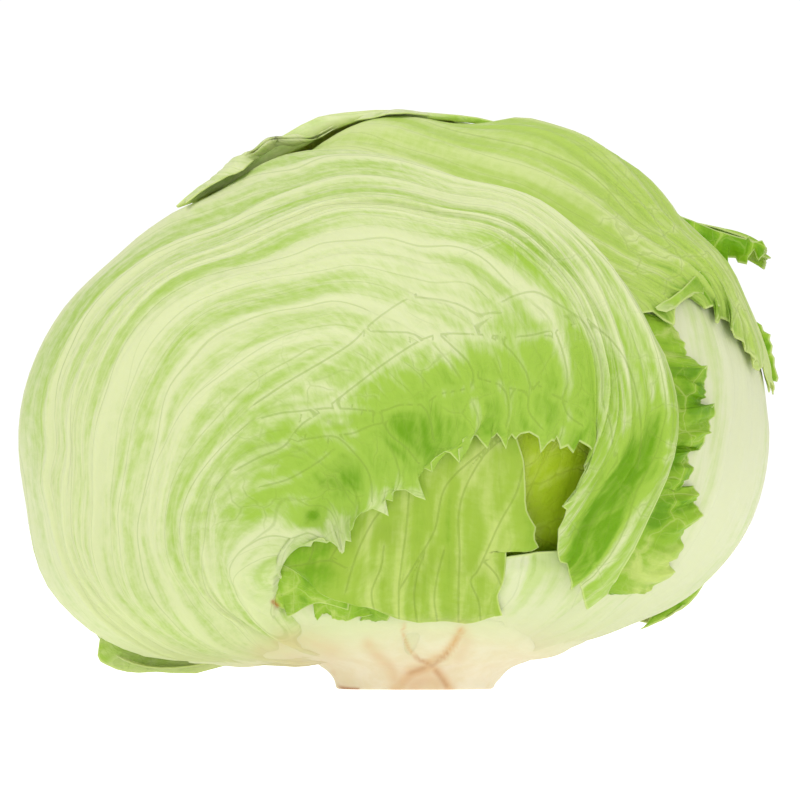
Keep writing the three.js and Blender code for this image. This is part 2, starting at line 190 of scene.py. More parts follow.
def smooth_max(a, b):
    return np.maximum(a, b) + np.maximum(BLEND - np.abs(a - b), 0) ** 2 / (4 * BLEND)


def catmull(points, count):
    """A Catmull-Rom curve through the points, sampled at count equal steps of its own parameter."""
    p = np.concatenate([[2 * points[0] - points[1]], points, [2 * points[-1] - points[-2]]])
    at = np.linspace(0, len(points) - 1, count)
    first = np.minimum(at.astype(int), len(points) - 2)
    f = (at - first).reshape(-1, *[1] * (points.ndim - 1))
    a, b, c, d = (p[first + k] for k in range(4))
    return b + 0.5 * f * (c - a + f * (2 * a - 5 * b + 4 * c - d + f * (3 * (b - c) + d - a)))


# Edges that the front view shows, as pixel places in order along them
WRAPPER_EDGE = [
    (294, 532), (303, 530), (308.6, 532), (311, 537.4), (311.4, 546), (314.3, 540), (320, 535),
    (325.8, 535.5), (328.6, 539.8), (331.5, 537.4), (335.3, 543), (341, 551), (337, 559.4), (344, 552.7),
    (346.3, 538), (352, 539.8), (350.6, 528), (354, 525), (354.5, 519), (359.3, 513), (364.5, 511.6),
    (372.6, 508), (379.3, 510.6), (389, 515.2), (382.2, 502.5), (386, 498), (393, 500), (391.3, 492.4),
    (396.6, 489), (405.6, 489), (415.4, 495.6), (426, 500), (419.6, 488.6), (416, 479.5), (420.3, 477.3),
    (417.5, 473), (421, 467.8), (426.7, 469.6), (432.3, 472.7), (430.6, 462.6), (435, 457),
    (443.5, 450.7), (449, 452), (458.2, 462), (456.8, 448), (461, 445.8), (461.7, 438.8), (467.3, 435.3),
    (475.8, 435.3), (481.4, 442.3), (487.3, 449), (488.4, 439.5), (493.3, 437.4), (496.8, 433.6),
    (501, 438.8), (506.2, 449.3), (508.7, 440.2), (513, 435.3), (517.2, 440), (522, 434.6), (529, 432.4),
    (538, 438), (540, 452.4), (546, 444.4), (550.8, 440.6), (554.3, 441.6), (557, 437), (560, 443.7),
    (561, 449.3), (568.4, 446.2), (572, 452.8), (577.9, 441), (582.4, 443.7), (589.4, 447.6),
    (593.6, 452), (593.6, 458.4), (586, 466.8), (589.4, 474.5), (586.6, 478.8), (586, 484.4),
    (576, 493.5), (572, 501), (562, 506.4), (567, 510.3), (564.9, 519.4), (559.2, 530), (558.7, 545),
    (561, 563), (569, 566), (566.5, 585.6), (578.3, 581), (580, 592), (582.7, 606), (587, 602),
    (596, 604.7), (602, 597), (610.5, 596),
]
WRAPPER_FOLD = [(276, 601), (277, 590), (280, 578), (280, 563), (280, 551), (286, 541), (294, 532)]
WRAPPER_RIM = [
    (600, 234), (617, 249), (635, 266), (648, 293), (660, 330), (671.5, 367), (677, 388), (679, 410),
    (678, 441), (671, 463), (663, 483), (653, 519), (643, 539), (634.7, 562), (616.5, 582), (611, 596),
]
# Line, left and right flank in millimetres, height
WRAPPER_CREASES = [
    ([(279, 566), (280, 551), (287, 541), (294, 532), (303, 520), (312, 501), (322, 488)], 8.0, 1.5, 3.2),
    ([(668, 350), (675, 400), (674, 440), (664, 473), (652, 510), (640, 540), (622, 572)], 3.0, 3.0, 1.2),
    ([(650, 430), (640, 465), (624, 492), (600, 512), (585, 530)], 2.6, 2.6, -1.6),
    ([(60, 480), (90, 560), (150, 610), (230, 640), (300, 656)], 4.0, 4.0, 1.6),
    ([(62, 440), (105, 520), (160, 580), (240, 615)], 3.0, 3.0, -0.7),
]
TORN_EDGE = [
    (280, 563), (290.4, 568), (298, 573.7), (322, 593.8), (334.4, 599.6), (353.5, 605.3), (380, 613),
    (400.8, 620.8), (436, 622), (465, 623.7), (485, 619), (494.7, 616.4),
]
TORN_SIDE = [
    (517, 440), (523, 460), (524, 480), (524.5, 500), (526, 510), (530, 518), (535.7, 527), (534, 533),
    (534.5, 539), (541.6, 552), (530, 550.5), (525.5, 550.4), (519.6, 553), (512, 547), (506.4, 546),
    (506, 560), (505, 571), (503.5, 581), (497.6, 594.4), (496.5, 605), (494.7, 616.4),
]
TUCKED_EDGE = [(275, 600), (276, 605), (286.6, 610), (293.3, 609), (308.6, 600.5), (322, 594), (345, 590)]
FRILL_EDGE = [
    (655, 315), (673, 326), (678.5, 331.8), (681.3, 348.7), (685.6, 355.7), (692, 356.4), (698.2, 369.7),
    (700.3, 366.2), (704.5, 376.7), (701.7, 382.3), (705.2, 387.2), (699.6, 395), (701, 403.4),
    (708, 407.6), (711, 403.3), (713.5, 416.6), (709.4, 430), (702.7, 434), (701, 450), (694.4, 449.8),
    (685.3, 450), (687.8, 459.7), (689.5, 466.3), (684.5, 478), (679.5, 479.6), (678.7, 494.5),
    (686, 489.6), (692.8, 485.4), (694.4, 497.8), (699.4, 519.4), (684.5, 530.2), (682.8, 544.3),
    (673, 557.5), (669.6, 559.2), (671.2, 572.5), (663, 580.8), (658, 587.4), (648, 591.5), (638, 590.7),
    (621.5, 598.2), (611.5, 597),
]
BASE_EDGE = [(500, 561), (512, 558), (525, 556.5), (540, 554.5), (559, 553), (576, 551)]
SMALL_EDGE = [
    (314, 597), (316, 614), (318.6, 617), (324, 610), (331.5, 614), (336, 616), (346, 620.6), (360, 614),
    (378, 613),
]
ROLL_EDGE = [
    (184, 202), (198, 190), (219, 176), (240, 163), (258, 151), (284, 138), (301, 128), (318, 120),
    (345, 114), (400, 112), (440, 114), (478, 119), (500, 123.5),
]
SHOULDER_EDGE = [
    (618, 300), (638, 314), (652.6, 312), (663, 320.6), (673, 326), (672.3, 309.4), (684, 299.6),
    (692.6, 294), (701, 298), (701, 304), (704.5, 309.4), (712, 306), (715.7, 308.7), (713, 322),
    (715, 324), (722, 317.8), (728.3, 324), (725.5, 331), (731.8, 338.8), (740, 343), (746, 353),
    (751.5, 365.5), (754.3, 371), (758.5, 367), (761.3, 355.7),
]

# Main veins that the front view shows, as lines of pixel places
WRAPPER_VEINS = [
    [(236, 470), (260, 457), (285, 446), (302, 425), (327, 408), (353, 388), (386, 363), (417, 343),
     (440, 335), (473, 335), (504, 337), (529, 336), (557, 329), (585, 321)],
    [(262, 418), (282, 413), (302, 411), (327, 408)],
    [(327, 408), (353, 409), (381, 411), (400, 405), (423, 404), (440, 394), (468, 388), (473, 377),
     (468, 363), (455, 350), (440, 336)],
    [(300, 440), (318, 437), (336, 435), (353, 433), (372, 425), (383, 422), (381, 411)],
    [(473, 377), (493, 383), (518, 390), (529, 385), (521, 366), (504, 346), (490, 338)],
    [(529, 380), (541, 388), (560, 398), (566, 383), (563, 360), (557, 340), (553, 331)],
    [(583, 324), (594, 346), (600, 374), (600, 402), (608, 422), (611, 447), (616, 458), (606, 474)],
    [(589, 323), (614, 346), (628, 371), (636, 402), (639, 436), (636, 464)],
    [(411, 298), (395, 307), (372, 324), (353, 343), (327, 360), (288, 383), (255, 405)],
    [(372, 332), (395, 333), (411, 334), (424, 341)],
    [(411, 298), (440, 301), (462, 307), (473, 314), (498, 314)],
    [(473, 326), (496, 307), (513, 297), (535, 293), (555, 304), (580, 320)],
    [(336, 435), (350, 447), (367, 468), (372, 486), (372, 500)],
    [(383, 422), (392, 436), (406, 447), (417, 461)],
    [(423, 404), (430, 420), (433, 440)],
    [(504, 387), (508, 410), (505, 426)],
    [(529, 387), (527, 410), (540, 428)],
    [(560, 398), (566, 414), (578, 424)],
    [(262, 486), (290, 478), (318, 462), (336, 448)],
]
TORN_VEINS = [
    [(346, 590), (353, 565), (361, 543), (375, 517), (386, 505)],
    [(399, 621), (399, 587), (402, 559), (406, 529), (409, 490)],
    [(400, 587), (417, 559), (434, 529), (442, 492), (456, 472), (482, 450), (495, 436)],
    [(458, 623), (458, 585), (459, 551), (458, 514), (465, 486), (482, 456), (498, 440)],
    [(476, 571), (482, 559), (498, 523), (515, 492), (522, 466)],
    [(482, 559), (496, 574), (503, 592)],
    [(417, 621), (414, 596), (417, 573), (424, 552)],
    [(480, 620), (478, 600), (470, 580), (476, 571)],
    [(284, 566), (309, 562), (330, 559), (346, 566)],
    [(309, 562), (314, 545), (310, 530)],
    [(330, 559), (341, 540)],
    [(375, 612), (372, 590), (381, 566), (384, 545)],
    [(437, 620), (434, 596), (438, 570), (444, 548)],
]

VEINS_OF = {"front_wrapper_leaf": WRAPPER_VEINS, "torn_leaf": TORN_VEINS}

# Small parts that face the front, each ruled between an upper and a lower line of pixel places
ROLL_TOP = [
    (176, 206), (184, 198.5), (198, 187), (219, 173.6), (240, 160), (258, 148), (284, 135), (301, 125),
    (318, 117), (330, 114.5), (345, 112.5), (374, 110), (398, 110), (422, 112), (459, 115), (478, 117.5),
    (495, 121.5),
]
ROLL_UNDER = [
    (178, 208), (190, 204), (210, 194), (240, 181), (258, 169), (270, 162), (288, 154), (306, 146),
    (318, 139), (330, 132), (345, 126), (360, 121), (405, 119), (450, 121), (478, 124), (495, 125),
]
TIP_TOP = [
    (676, 214), (692.6, 220), (716.4, 230), (737, 236), (746.6, 238.6), (748.7, 235.8), (750.8, 240),
    (754, 241.4), (762.7, 240), (766, 246),
]
TIP_UNDER = [
    (676, 224), (700, 247), (716, 262), (729.7, 270), (727, 257.5), (736, 258), (738, 262.4),
    (747.3, 264.5), (748.7, 257.5), (754.3, 250), (757, 257.5), (758.5, 261), (763.4, 255.4),
]
FLAP_TOP = [(653, 308), (660, 303), (668, 299), (680, 290), (690, 280), (698, 271.5), (700, 271.5)]
FLAP_UNDER = [(655, 311), (664, 313), (672.3, 309.4), (684, 299.6), (692.6, 294), (702, 295), (703, 285.5)]
FRILL_LEFT = [(750, 316), (756, 330), (759, 345), (762.7, 367), (767.6, 385)]
FRILL_RIGHT = [
    (757, 322), (762, 325), (764, 331), (771, 334.6), (770, 340), (773, 346), (772, 353), (775, 358),
    (775, 366), (778.8, 378), (777.5, 382), (772, 381), (770, 385),
]
LEFT_SLIP_TOP = [(104, 634), (130, 646), (160, 650), (200, 652), (250, 652)]
LEFT_SLIP_UNDER = [
    (99, 640), (96.8, 656), (99.6, 662), (105, 665), (116, 670), (127, 672.5), (138, 673.4), (156, 672.4),
    (170, 673.5), (196, 674), (205, 671.5), (222, 667), (238, 664), (250, 659),
]
RIGHT_SLIP_TOP = [
    (641, 629), (644, 627), (647, 623.5), (649.5, 619), (652, 616), (659, 612.5), (664, 609), (680, 594),
    (700, 574), (716, 556),
]
RIGHT_SLIP_UNDER = [
    (640, 630.3), (648, 627.5), (660, 622), (668, 617.5), (677, 612.5), (683, 609.5), (690, 604),
    (698, 595), (703, 587), (709, 578), (717, 563), (720, 558),
]

# The leaves, from the innermost to the outermost. Lines run from the leaf's base to its edge, from one
# side of the leaf to the other; stem is the angles round the stem between which they start, and floor the
# lowest height of the outer face. columns and rows are the finished mesh's.
LEAVES = {
    "heart_leaf": dict(
        floor=-7, sunken=True, up=2.6, lifts=[(318, 42, 18, 5)], columns=90, rows=50,
        lines=[
            [(290, 55), (302, 34), (324, 20), (0, 17)],
            [(298, 58), (313, 37), (334, 26), (2, 24)],
            [(309, 59), (322, 42), (340, 33), (0, 32)],
            [(317, 59), (330, 47), (343, 40), (0, 38)],
        ],
    ),
    "pale_base_leaf": dict(
        floor=-0.8, stem=(222, 264), columns=90, rows=60,
        lines=[
            [(249, 66), (239, 54), (229, 38)],
            [(256, 63), (247, 50), (238, 35)],
            [(264, 65), (259, 50), (254, 35)],
            [(273, 66), (272, 51), (272, 36)],
        ],
    ),
    "inner_base_leaf": dict(
        floor=-1.0, stem=(262, 298), tuck=(0.94, 1.0), columns=100, rows=60, edge=BASE_EDGE, reach=16,
        lines=[
            [(270, 69), (277, 53), (284, 42)],
            [(284, 67), (296, 54), (306, 47)],
            [(294, 70), (307, 58), (317, 50)],
            [(299, 76), (314, 65), (325, 57)],
        ],
    ),
    "right_leaf": dict(
        floor=0, stem=(282, 372), columns=180, rows=90, sinks=[(0, 0.55, 2.6, 12)], pleats=0.3,
        rib_height=0.5, lifts=[(310, 88, 15, -1.4)],
        lines=[
            [(294, 70), (310, 57), (326, 46), (345, 38), (5, 40), (19, 44)],
            [(301, 73), (321, 61), (340, 52), (0, 51), (20, 56)],
            [(306, 79), (328, 66), (348, 63), (5, 68), (23, 70)],
            [(310, 88), (329, 85), (347, 83), (4, 84), (22, 84)],
            [(305, 97), (325, 101), (345, 104), (5, 104), (25, 100)],
            [(300, 107), (320, 117), (343, 124), (8, 124), (30, 118)],
        ],
    ),
    "frilled_leaf": dict(
        floor=-1, columns=420, rows=44, ruffle=(13, 1.6), from_row=0.3, reach=12, edge=FRILL_EDGE, up=-0.4,
        lines=[
            [(26, 40), (20, 46), (15, 52)],
            [(11, 36), (8, 45), (6, 54)],
            [(356, 35), (356, 44), (357, 55)],
            [(346, 36), (347, 43), (349, 51)],
            [(335, 38), (338, 48), (341, 57)],
            [(326, 43), (327, 54), (330, 65)],
            [(318, 46), (318, 56), (319, 65)],
        ],
    ),
    "small_frill_leaf": dict(
        floor=-3.5, columns=140, rows=24, ruffle=(4, 0.8), from_row=0.3, edge=SMALL_EDGE,
        lines=[
            [(246, 39), (249, 48), (250, 54)],
            [(254, 40), (255, 49), (255, 56)],
            [(264, 44), (263, 52), (262, 56)],
            [(272, 47), (269, 55), (267, 58)],
        ],
    ),
    "tucked_leaf": dict(
        floor=-3.5, columns=90, rows=60, edge=TUCKED_EDGE,
        lines=[
            [(217, 26), (231, 38), (240, 51)],
            [(224, 23), (236, 38), (244, 54)],
            [(234, 22), (244, 38), (249, 48)],
            [(254, 22), (257, 37), (258, 50)],
        ],
    ),
    "torn_leaf": dict(
        floor=-2.3, columns=240, rows=80, edge=TORN_EDGE, sides={1: TORN_SIDE}, side_width=0.2, pleats=0.4,
        rib_height=0.5,
        lines=[
            [(180, 11), (221, 22), (234, 38)],
            [(159, 7), (238, 20), (250, 48)],
            [(99, 5), (260, 20), (264, 53)],
            [(44, 8), (286, 21), (275, 57)],
            [(23, 13), (309, 22), (287, 59)],
            [(10, 18), (342, 21), (323, 29), (314, 38), (307, 39), (302, 46), (297, 56)],
        ],
    ),
    "shoulder_leaf": dict(
        floor=-2.8, stem=(172, 136), columns=290, rows=104, teeth=(24, 3.4), ruffle=(9, 0.9), from_row=0.9,
        edge=SHOULDER_EDGE,
        lifts=[
            (60, 80, 22, 4.2), (92, 86, 20, 4.5), (48, 84, 14, 1.4), (39, 86, 13, 2.2), (67.5, 88, 4, 1.6),
        ],
        lines=[
            [(244, 106), (228, 109), (215, 107), (185, 105), (155, 97), (130, 84), (108, 66), (65, 43),
             (34, 47), (22, 50), (19, 50)],
            [(246, 112), (215, 113), (185, 113), (155, 108), (130, 98), (105, 80), (65, 56), (36, 56),
             (23, 61), (21, 66)],
            [(248, 121), (215, 124), (185, 124), (155, 119), (130, 110), (103, 94), (64, 74), (36, 70),
             (20, 69), (15, 69)],
            [(250, 131), (216, 135), (185, 135), (155, 131), (127, 123), (98, 108), (66, 92), (38, 82),
             (18, 76), (6, 75)],
            [(254, 142), (218, 148), (183, 148), (150, 145), (118, 136), (88, 123), (58, 110), (34, 100),
             (14, 94), (2, 92)],
        ],
    ),
    "upper_tip_leaf": dict(
        floor=-2.3, stem=(100, 84), columns=110, rows=110, teeth=(8, 2.0), ruffle=(3, 1.5), from_row=0.9,
        lifts=[(21, 98, 9, 8)],
        lines=[
            [(272, 140), (300, 172), (80, 150), (62, 130), (50, 119), (40, 110), (31, 101), (23, 97)],
            [(276, 140), (320, 165), (54, 146), (48, 129), (41, 119), (35, 110), (28, 102), (22, 98)],
            [(282, 140), (330, 155), (24, 142), (30, 130), (30, 120), (28, 112), (24, 104), (20, 100)],
        ],
    ),
    "front_wrapper_leaf": dict(
        floor=0, stem=(238, 165), columns=340, rows=110, ruffle=(7, 0.9), from_row=0.95,
        edge=WRAPPER_EDGE, up=-0.7, sides={0: WRAPPER_FOLD, 1: WRAPPER_RIM}, side_width=0.12,
        sinks=[(0, 0.5, 2.4, 9)], creases=WRAPPER_CREASES,
        lifts=[(bearing, reach, 13, 3) for bearing, reach in
               ((52, 45), (31, 44), (10, 43), (349, 43), (332, 47), (320, 55))]
        + [(137, 84, 16, 3.5), (117, 82, 14, 2.6), (238, 88, 16, -1.2)],
        lines=[
            [(254, 67), (247, 60), (241, 52), (238, 46), (236, 39), (235, 34), (235, 31)],
            [(247, 66), (235, 55), (225, 42), (216, 34), (213, 26), (224, 21), (251, 33)],
            [(243, 72), (228, 54), (213, 43), (194, 34), (173, 25), (142, 16), (0, 1), (289, 21)],
            [(239, 76), (222, 59), (204, 50), (182, 42), (153, 39), (113, 30), (57, 21), (16, 18),
             (342, 19)],
            [(236, 78), (217, 63), (196, 57), (174, 54), (147, 54), (109, 47), (64, 38), (28, 34),
             (5, 32), (346, 31)],
            [(234, 79), (214, 66), (193, 62), (170, 61), (144, 61), (109, 53), (66, 43), (32, 38),
             (5, 35), (345, 33), (329, 32)],
            [(232, 80), (212, 71), (190, 70), (167, 72), (142, 71), (110, 62), (76, 50), (45, 44),
             (18, 39), (353, 37.5), (335, 37), (316, 44)],
            [(245, 100), (225, 108), (205, 113), (185, 115), (165, 112), (145, 103), (122, 88), (100, 71),
             (72, 55), (57, 51), (39, 48), (21, 44.5), (3, 44.5), (353, 44.5), (338, 44), (325, 48),
             (316, 53)],
        ],
    ),
    "left_back_leaf": dict(
        floor=0, stem=(150, 114), columns=130, rows=80, teeth=(10, 2.5), ruffle=(4, 2.0), from_row=0.9,
        lifts=[(228, 92, 14, 1.5)],
        lines=[
            [(250, 106), (241, 100), (234, 95), (224, 95), (215, 108), (200, 116), (183, 119), (165, 120),
             (150, 120)],
            [(249, 108), (238, 108), (225, 110), (208, 118), (188, 125), (166, 127), (144, 127),
             (130, 128)],
            [(256, 116), (244, 124), (225, 133), (200, 140), (170, 142), (142, 140), (120, 138)],
            [(264, 121), (258, 136), (238, 152), (195, 160), (150, 158), (122, 150), (108, 146)],
            [(271, 123), (274, 145), (285, 168), (130, 176), (110, 165), (103, 158), (98, 152)],
        ],
    ),
    "right_back_leaf": dict(
        floor=0, stem=(22, 58), columns=130, rows=80, teeth=(10, 2.5), ruffle=(4, 2.0), from_row=0.9,
        lifts=[(320, 94, 9, 2)],
        lines=[
            [(294, 118), (307, 118), (316, 108), (320, 97), (328, 98), (336, 111), (355, 117), (12, 117),
             (26, 116)],
            [(288, 120), (302, 123), (320, 121), (334, 123), (352, 127), (12, 128), (30, 127), (42, 126)],
            [(284, 118), (296, 132), (315, 140), (340, 144), (8, 144), (34, 140), (52, 137)],
            [(279, 122), (286, 142), (305, 158), (345, 164), (15, 162), (45, 154), (62, 148)],
            [(274, 124), (272, 148), (262, 170), (100, 176), (80, 165), (72, 158)],
        ],
    ),
    "top_back_leaf": dict(
        floor=0, stem=(112, 67), columns=200, rows=80, pleats=0.3, edge=ROLL_EDGE, reach=14, up=-0.3,
        lifts=[(108, 86, 12, 1.0), (123, 86, 16, 2.0)],
        lines=[
            [(249, 112), (231, 124), (206, 132), (178, 134), (156, 127), (144, 112), (137, 98), (133, 82)],
            [(257, 118), (243, 136), (217, 150), (178, 152), (147, 140), (131, 120), (126, 100), (123, 75)],
            [(268, 122), (265, 145), (240, 168), (120, 170), (112, 146), (111, 122), (110, 98), (110, 75)],
            [(277, 122), (285, 145), (310, 166), (50, 168), (85, 146), (92, 122), (94, 98), (95, 80)],
            [(285, 118), (300, 136), (325, 150), (5, 152), (40, 142), (62, 124), (75, 104), (81, 86)],
            [(293, 112), (311, 124), (336, 133), (4, 136), (30, 130), (48, 118), (60, 107), (67, 97)],
        ],
    ),
}
ORDER = list(LEAVES)


class Lines:
    """A leaf's lines, ready to give the direction at u across the leaf and v along it."""

    SAMPLES = 240

    def __init__(self, leaf):
        self.curves = []
        self.lengths = []
        count = len(leaf["lines"])
        for n, line in enumerate(leaf["lines"]):
            points = direction(line)
            if "stem" in leaf:
                first, last = leaf["stem"]
                points = np.vstack([root_direction(first + (last - first) * n / (count - 1)), points])
            curve = catmull(points, self.SAMPLES)
            step = np.linalg.norm(np.diff(curve, axis=0), axis=1)
            along = np.concatenate([[0], np.cumsum(step)])
            self.lengths.append(along[-1] * MEAN_RADIUS)
            self.curves.append((along / along[-1], curve))

    def at(self, u, v):
        """Each line at v by its own length, then a centripetal curve across the lines at u."""
        across = np.stack([self.on_line(n, v) for n in range(len(self.curves))])
        across = np.concatenate([[2 * across[0] - across[1]], across, [2 * across[-1] - across[-2]]])
        at = u * (len(self.curves) - 1)
        first = np.minimum(at.astype(int), len(self.curves) - 2)
        f = (at - first)[..., None]
        p = [np.take_along_axis(across, (first + k)[None, ..., None], 0)[0] for k in range(4)]
        return unit(centripetal(p, f))

    def on_line(self, n, v):
        along, curve = self.curves[n]
        inside = np.stack([np.interp(np.minimum(v, 1), along, curve[:, k]) for k in range(3)], -1)
        slope = (curve[-1] - curve[-4]) / (along[-1] - along[-4])
        return inside + np.maximum(v - 1, 0)[..., None] * slope

    def length(self, u):
        """Length in millimetres of the leaf from base to edge at u."""
        return np.interp(u, np.linspace(0, 1, len(self.lengths)), self.lengths)


def centripetal(p, f):
    """A centripetal Catmull-Rom span from p[1] to p[2] at f."""
    apart = [np.linalg.norm(after - before, axis=-1) for before, after in zip(p[:-1], p[1:])]
    a, b, c = (np.sqrt(np.maximum(gap, 1e-6))[..., None] for gap in apart)
    start = (p[1] - p[0]) / a - (p[2] - p[0]) / (a + b) + (p[2] - p[1]) / b
    end = (p[2] - p[1]) / b - (p[3] - p[1]) / (b + c) + (p[3] - p[2]) / c
    start = start * b
    end = end * b
    rise = p[2] - p[1]
    return p[1] + f * (start + f * (3 * rise - 2 * start - end + f * (start + end - 2 * rise)))


class Outline:
    """A leaf's border on the skin, and how far a direction is outside it."""

    SIDE = 24

    def __init__(self, lines):
        t = np.arange(self.SIDE) / self.SIDE
        zero = np.zeros(self.SIDE)
        sides = [(t, zero), (zero + 1, t), (1 - t, zero + 1), (zero, 1 - t)]
        self.border = np.concatenate([lines.at(u, v) for u, v in sides])
        u, v = np.meshgrid(t, t)
        self.middle = unit(lines.at(u, v).reshape(-1, 3).sum(0))
        self.side = unit(np.cross([0, 0, 1], self.middle))
        self.up = np.cross(self.middle, self.side)
        self.flat = self.chart(self.border)

    def chart(self, e):
        """Distances from the leaf's middle, kept true along rays, as a flat map."""
        away = np.arccos(np.clip(e @ self.middle, -1, 1))
        xy = np.stack([e @ self.side, e @ self.up], -1)
        return xy * (away / np.maximum(np.linalg.norm(xy, axis=-1), 1e-9))[..., None]

    def outside(self, e):
        """Millimetres outside the border, and 0 inside it."""
        flat = e.reshape(-1, 3)
        x, y = self.chart(flat).T
        inside = np.zeros(len(flat), bool)
        nearest = np.full(len(flat), np.inf)
        for n in range(len(self.border)):
            a, b = self.border[n - 1], self.border[n]
            nearest = np.minimum(nearest, segment_distance(flat, a, b))
            (xa, ya), (xb, yb) = self.flat[n - 1], self.flat[n]
            crosses = (ya > y) != (yb > y)
            if ya != yb:
                inside ^= crosses & (x < (xb - xa) * (y - ya) / (yb - ya) + xa)
        return np.where(inside, 0, nearest * MEAN_RADIUS).reshape(e.shape[:-1])


for leaf in LEAVES.values():
    leaf["net"] = Lines(leaf)
    leaf["outline"] = Outline(leaf["net"])
    leaf["tooth"] = leaf.get("teeth", (0, 0))[1]


def thickness_at(e):
    return BLADE + BASE_EXTRA * (1 - smoothstep(from_stem(e), 16, 50))


def lift_at(leaf, e):
    return sum((bump(e, spot) for spot in leaf.get("lifts", ())), np.zeros(e.shape[:-1]))


def resting_height(name, e):
    """Height of the inner face of a leaf: the highest of its floor, the heart, and each leaf under it,
    which lets it come down at DRAPE_SLOPE past that leaf's edge."""
    thickness = thickness_at(e)
    heart = -HEART_DEPTH - bump(e, HOLLOW) + LEAF_GAP
    outer = []
    for n, below in enumerate(ORDER):
        leaf = LEAVES[below]
        floor = leaf["floor"] - (bump(e, HOLLOW) if leaf.get("sunken") else 0)
        inner = smooth_max(floor - thickness, heart)
        for m in range(n):
            other = LEAVES[ORDER[m]]
            clear = np.maximum(0, other["clear"] - other["tooth"] - DRAPE_START)
            inner = smooth_max(inner, outer[m] + LEAF_GAP - DRAPE_SLOPE * clear)
        if below == name:
            return inner + lift_at(leaf, e)
        leaf["clear"] = leaf["outline"].outside(e)
        outer.append(inner + thickness + lift_at(leaf, e))


def open_above(name, e):
    """1 where no other leaf lies on this one, falling to 0 towards and under a leaf that does."""
    clear = np.ones(e.shape[:-1])
    for other in ORDER[ORDER.index(name) + 1:]:
        leaf = LEAVES[other]
        clear *= smoothstep(leaf["outline"].outside(e), 0.5 + leaf["tooth"], 7 + leaf["tooth"])
    return clear


def on_front(name, pixels):
    """Directions at which a leaf's outer face shows at pixel places of the front view."""
    x, z = (in_view(pixels) - HEAD_CENTRE[[0, 2]]).T
    bearing = np.arctan2(z, x)
    around = np.stack([np.cos(bearing), np.zeros(bearing.shape), np.sin(bearing)], -1)
    reach = np.hypot(x, z) / semi_axes(around)[0]
    scale = np.ones(reach.shape)
    for _ in range(4):
        sine = np.minimum(reach / scale, 0.9995)
        e = around * sine[:, None]
        e[:, 1] = -np.sqrt(1 - sine ** 2)
        height = resting_height(name, e) + thickness_at(e)
        scale = 1 + height / np.linalg.norm(point_at(e, 0) - HEAD_CENTRE, axis=-1)
    return e


def spread(coarse, u, w):
    """A coarse square grid of values carried smoothly to every (u, w), both 0 to 1."""
    count = coarse.shape[0]

    def span(t):
        at = np.clip(t, 0, 1) * (count - 1)
        first = np.minimum(at.astype(int), count - 2)
        f = at - first
        index = [np.clip(first + k, 0, count - 1) for k in (-1, 0, 1, 2)]
        return index, (
            0.5 * f * (-1 + f * (2 - f)),
            1 + 0.5 * f * f * (3 * f - 5),
            0.5 * f * (1 + f * (4 - 3 * f)),
            0.5 * f * f * (f - 1),
        )

    rows, row_weights = span(w)
    columns, column_weights = span(u)
    total = np.zeros(np.broadcast(u, w).shape)
    for i, a in zip(rows, row_weights):
        for j, b in zip(columns, column_weights):
            total += a * b * coarse[i, j]
    return total


def noise(x, y, seed):
    """Smooth noise from -1 to 1: random values at whole numbers, blended between them."""
    table = np.random.default_rng(seed).uniform(-1, 1, (64, 64))
    xi, yi = np.floor(x).astype(int), np.floor(y).astype(int)
    fx, fy = x - xi, y - yi
    fx, fy = fx * fx * (3 - 2 * fx), fy * fy * (3 - 2 * fy)
    a, b = table[yi % 64, xi % 64], table[yi % 64, (xi + 1) % 64]
    c, d = table[(yi + 1) % 64, xi % 64], table[(yi + 1) % 64, (xi + 1) % 64]
    return (a + (b - a) * fx) * (1 - fy) + (c + (d - c) * fx) * fy


def tooth_length(u, teeth, seed):
    """The leaf's edge: pointed teeth of uneven length and lean with hollow arcs between them, and small
    ones on their flanks. A tooth rises as t^1.8 and falls as (1 - t)^1.8 on either side of its tip."""
    count, length = teeth
    rng = np.random.default_rng(seed)
    borders = np.concatenate([[0], np.cumsum(rng.uniform(0.5, 1.5, count))])
    borders /= borders[-1]
    size = rng.uniform(0.35, 1.0, count)
    tip = rng.uniform(0.55, 0.85, count)
    n = np.clip(np.searchsorted(borders, u, side="right") - 1, 0, count - 1)
    t = (u - borders[n]) / (borders[n + 1] - borders[n])
    main = np.where(t < tip[n], t / tip[n], (1 - t) / (1 - tip[n])) ** 1.8 * size[n]
    small = (1 - np.abs(2 * np.mod(u * count * 3.3, 1) - 1)) ** 1.5 * 0.16
    return length * (main + small * (1 - main))


def ribs(u, v, wide, count, seed):
    """Ribs that run along the leaf and part on the way: the first set from the base, two more that bend
    away from their neighbours further out. Returns their relief from 0 to 1, widest near the base."""
    rng = np.random.default_rng(seed)
    relief = np.zeros(u.shape)
    sets = ((-0.5, count, 2.6, 1.0), (0.3, count, 1.8, 0.7), (0.55, 2 * count, 1.3, 0.5))
    for start, number, width, strength in sets:
        for k in range(number):
            end = (k + 0.5 + rng.uniform(-0.3, 0.3)) / number
            parent = end + rng.choice([-1, 1]) * rng.uniform(0.25, 0.5) / number
            path = end + (parent - end) * (1 - smoothstep(v, start, start + 0.35))
            path += 0.012 * np.sin(7 * v + rng.uniform(0, 6))
            away = np.abs(u - path) * wide / (width * (1.3 - 0.5 * v))
            grown = smoothstep(v, start, start + 0.15)
            relief = np.maximum(relief, strength * grown * np.exp(-away * away))
    return relief


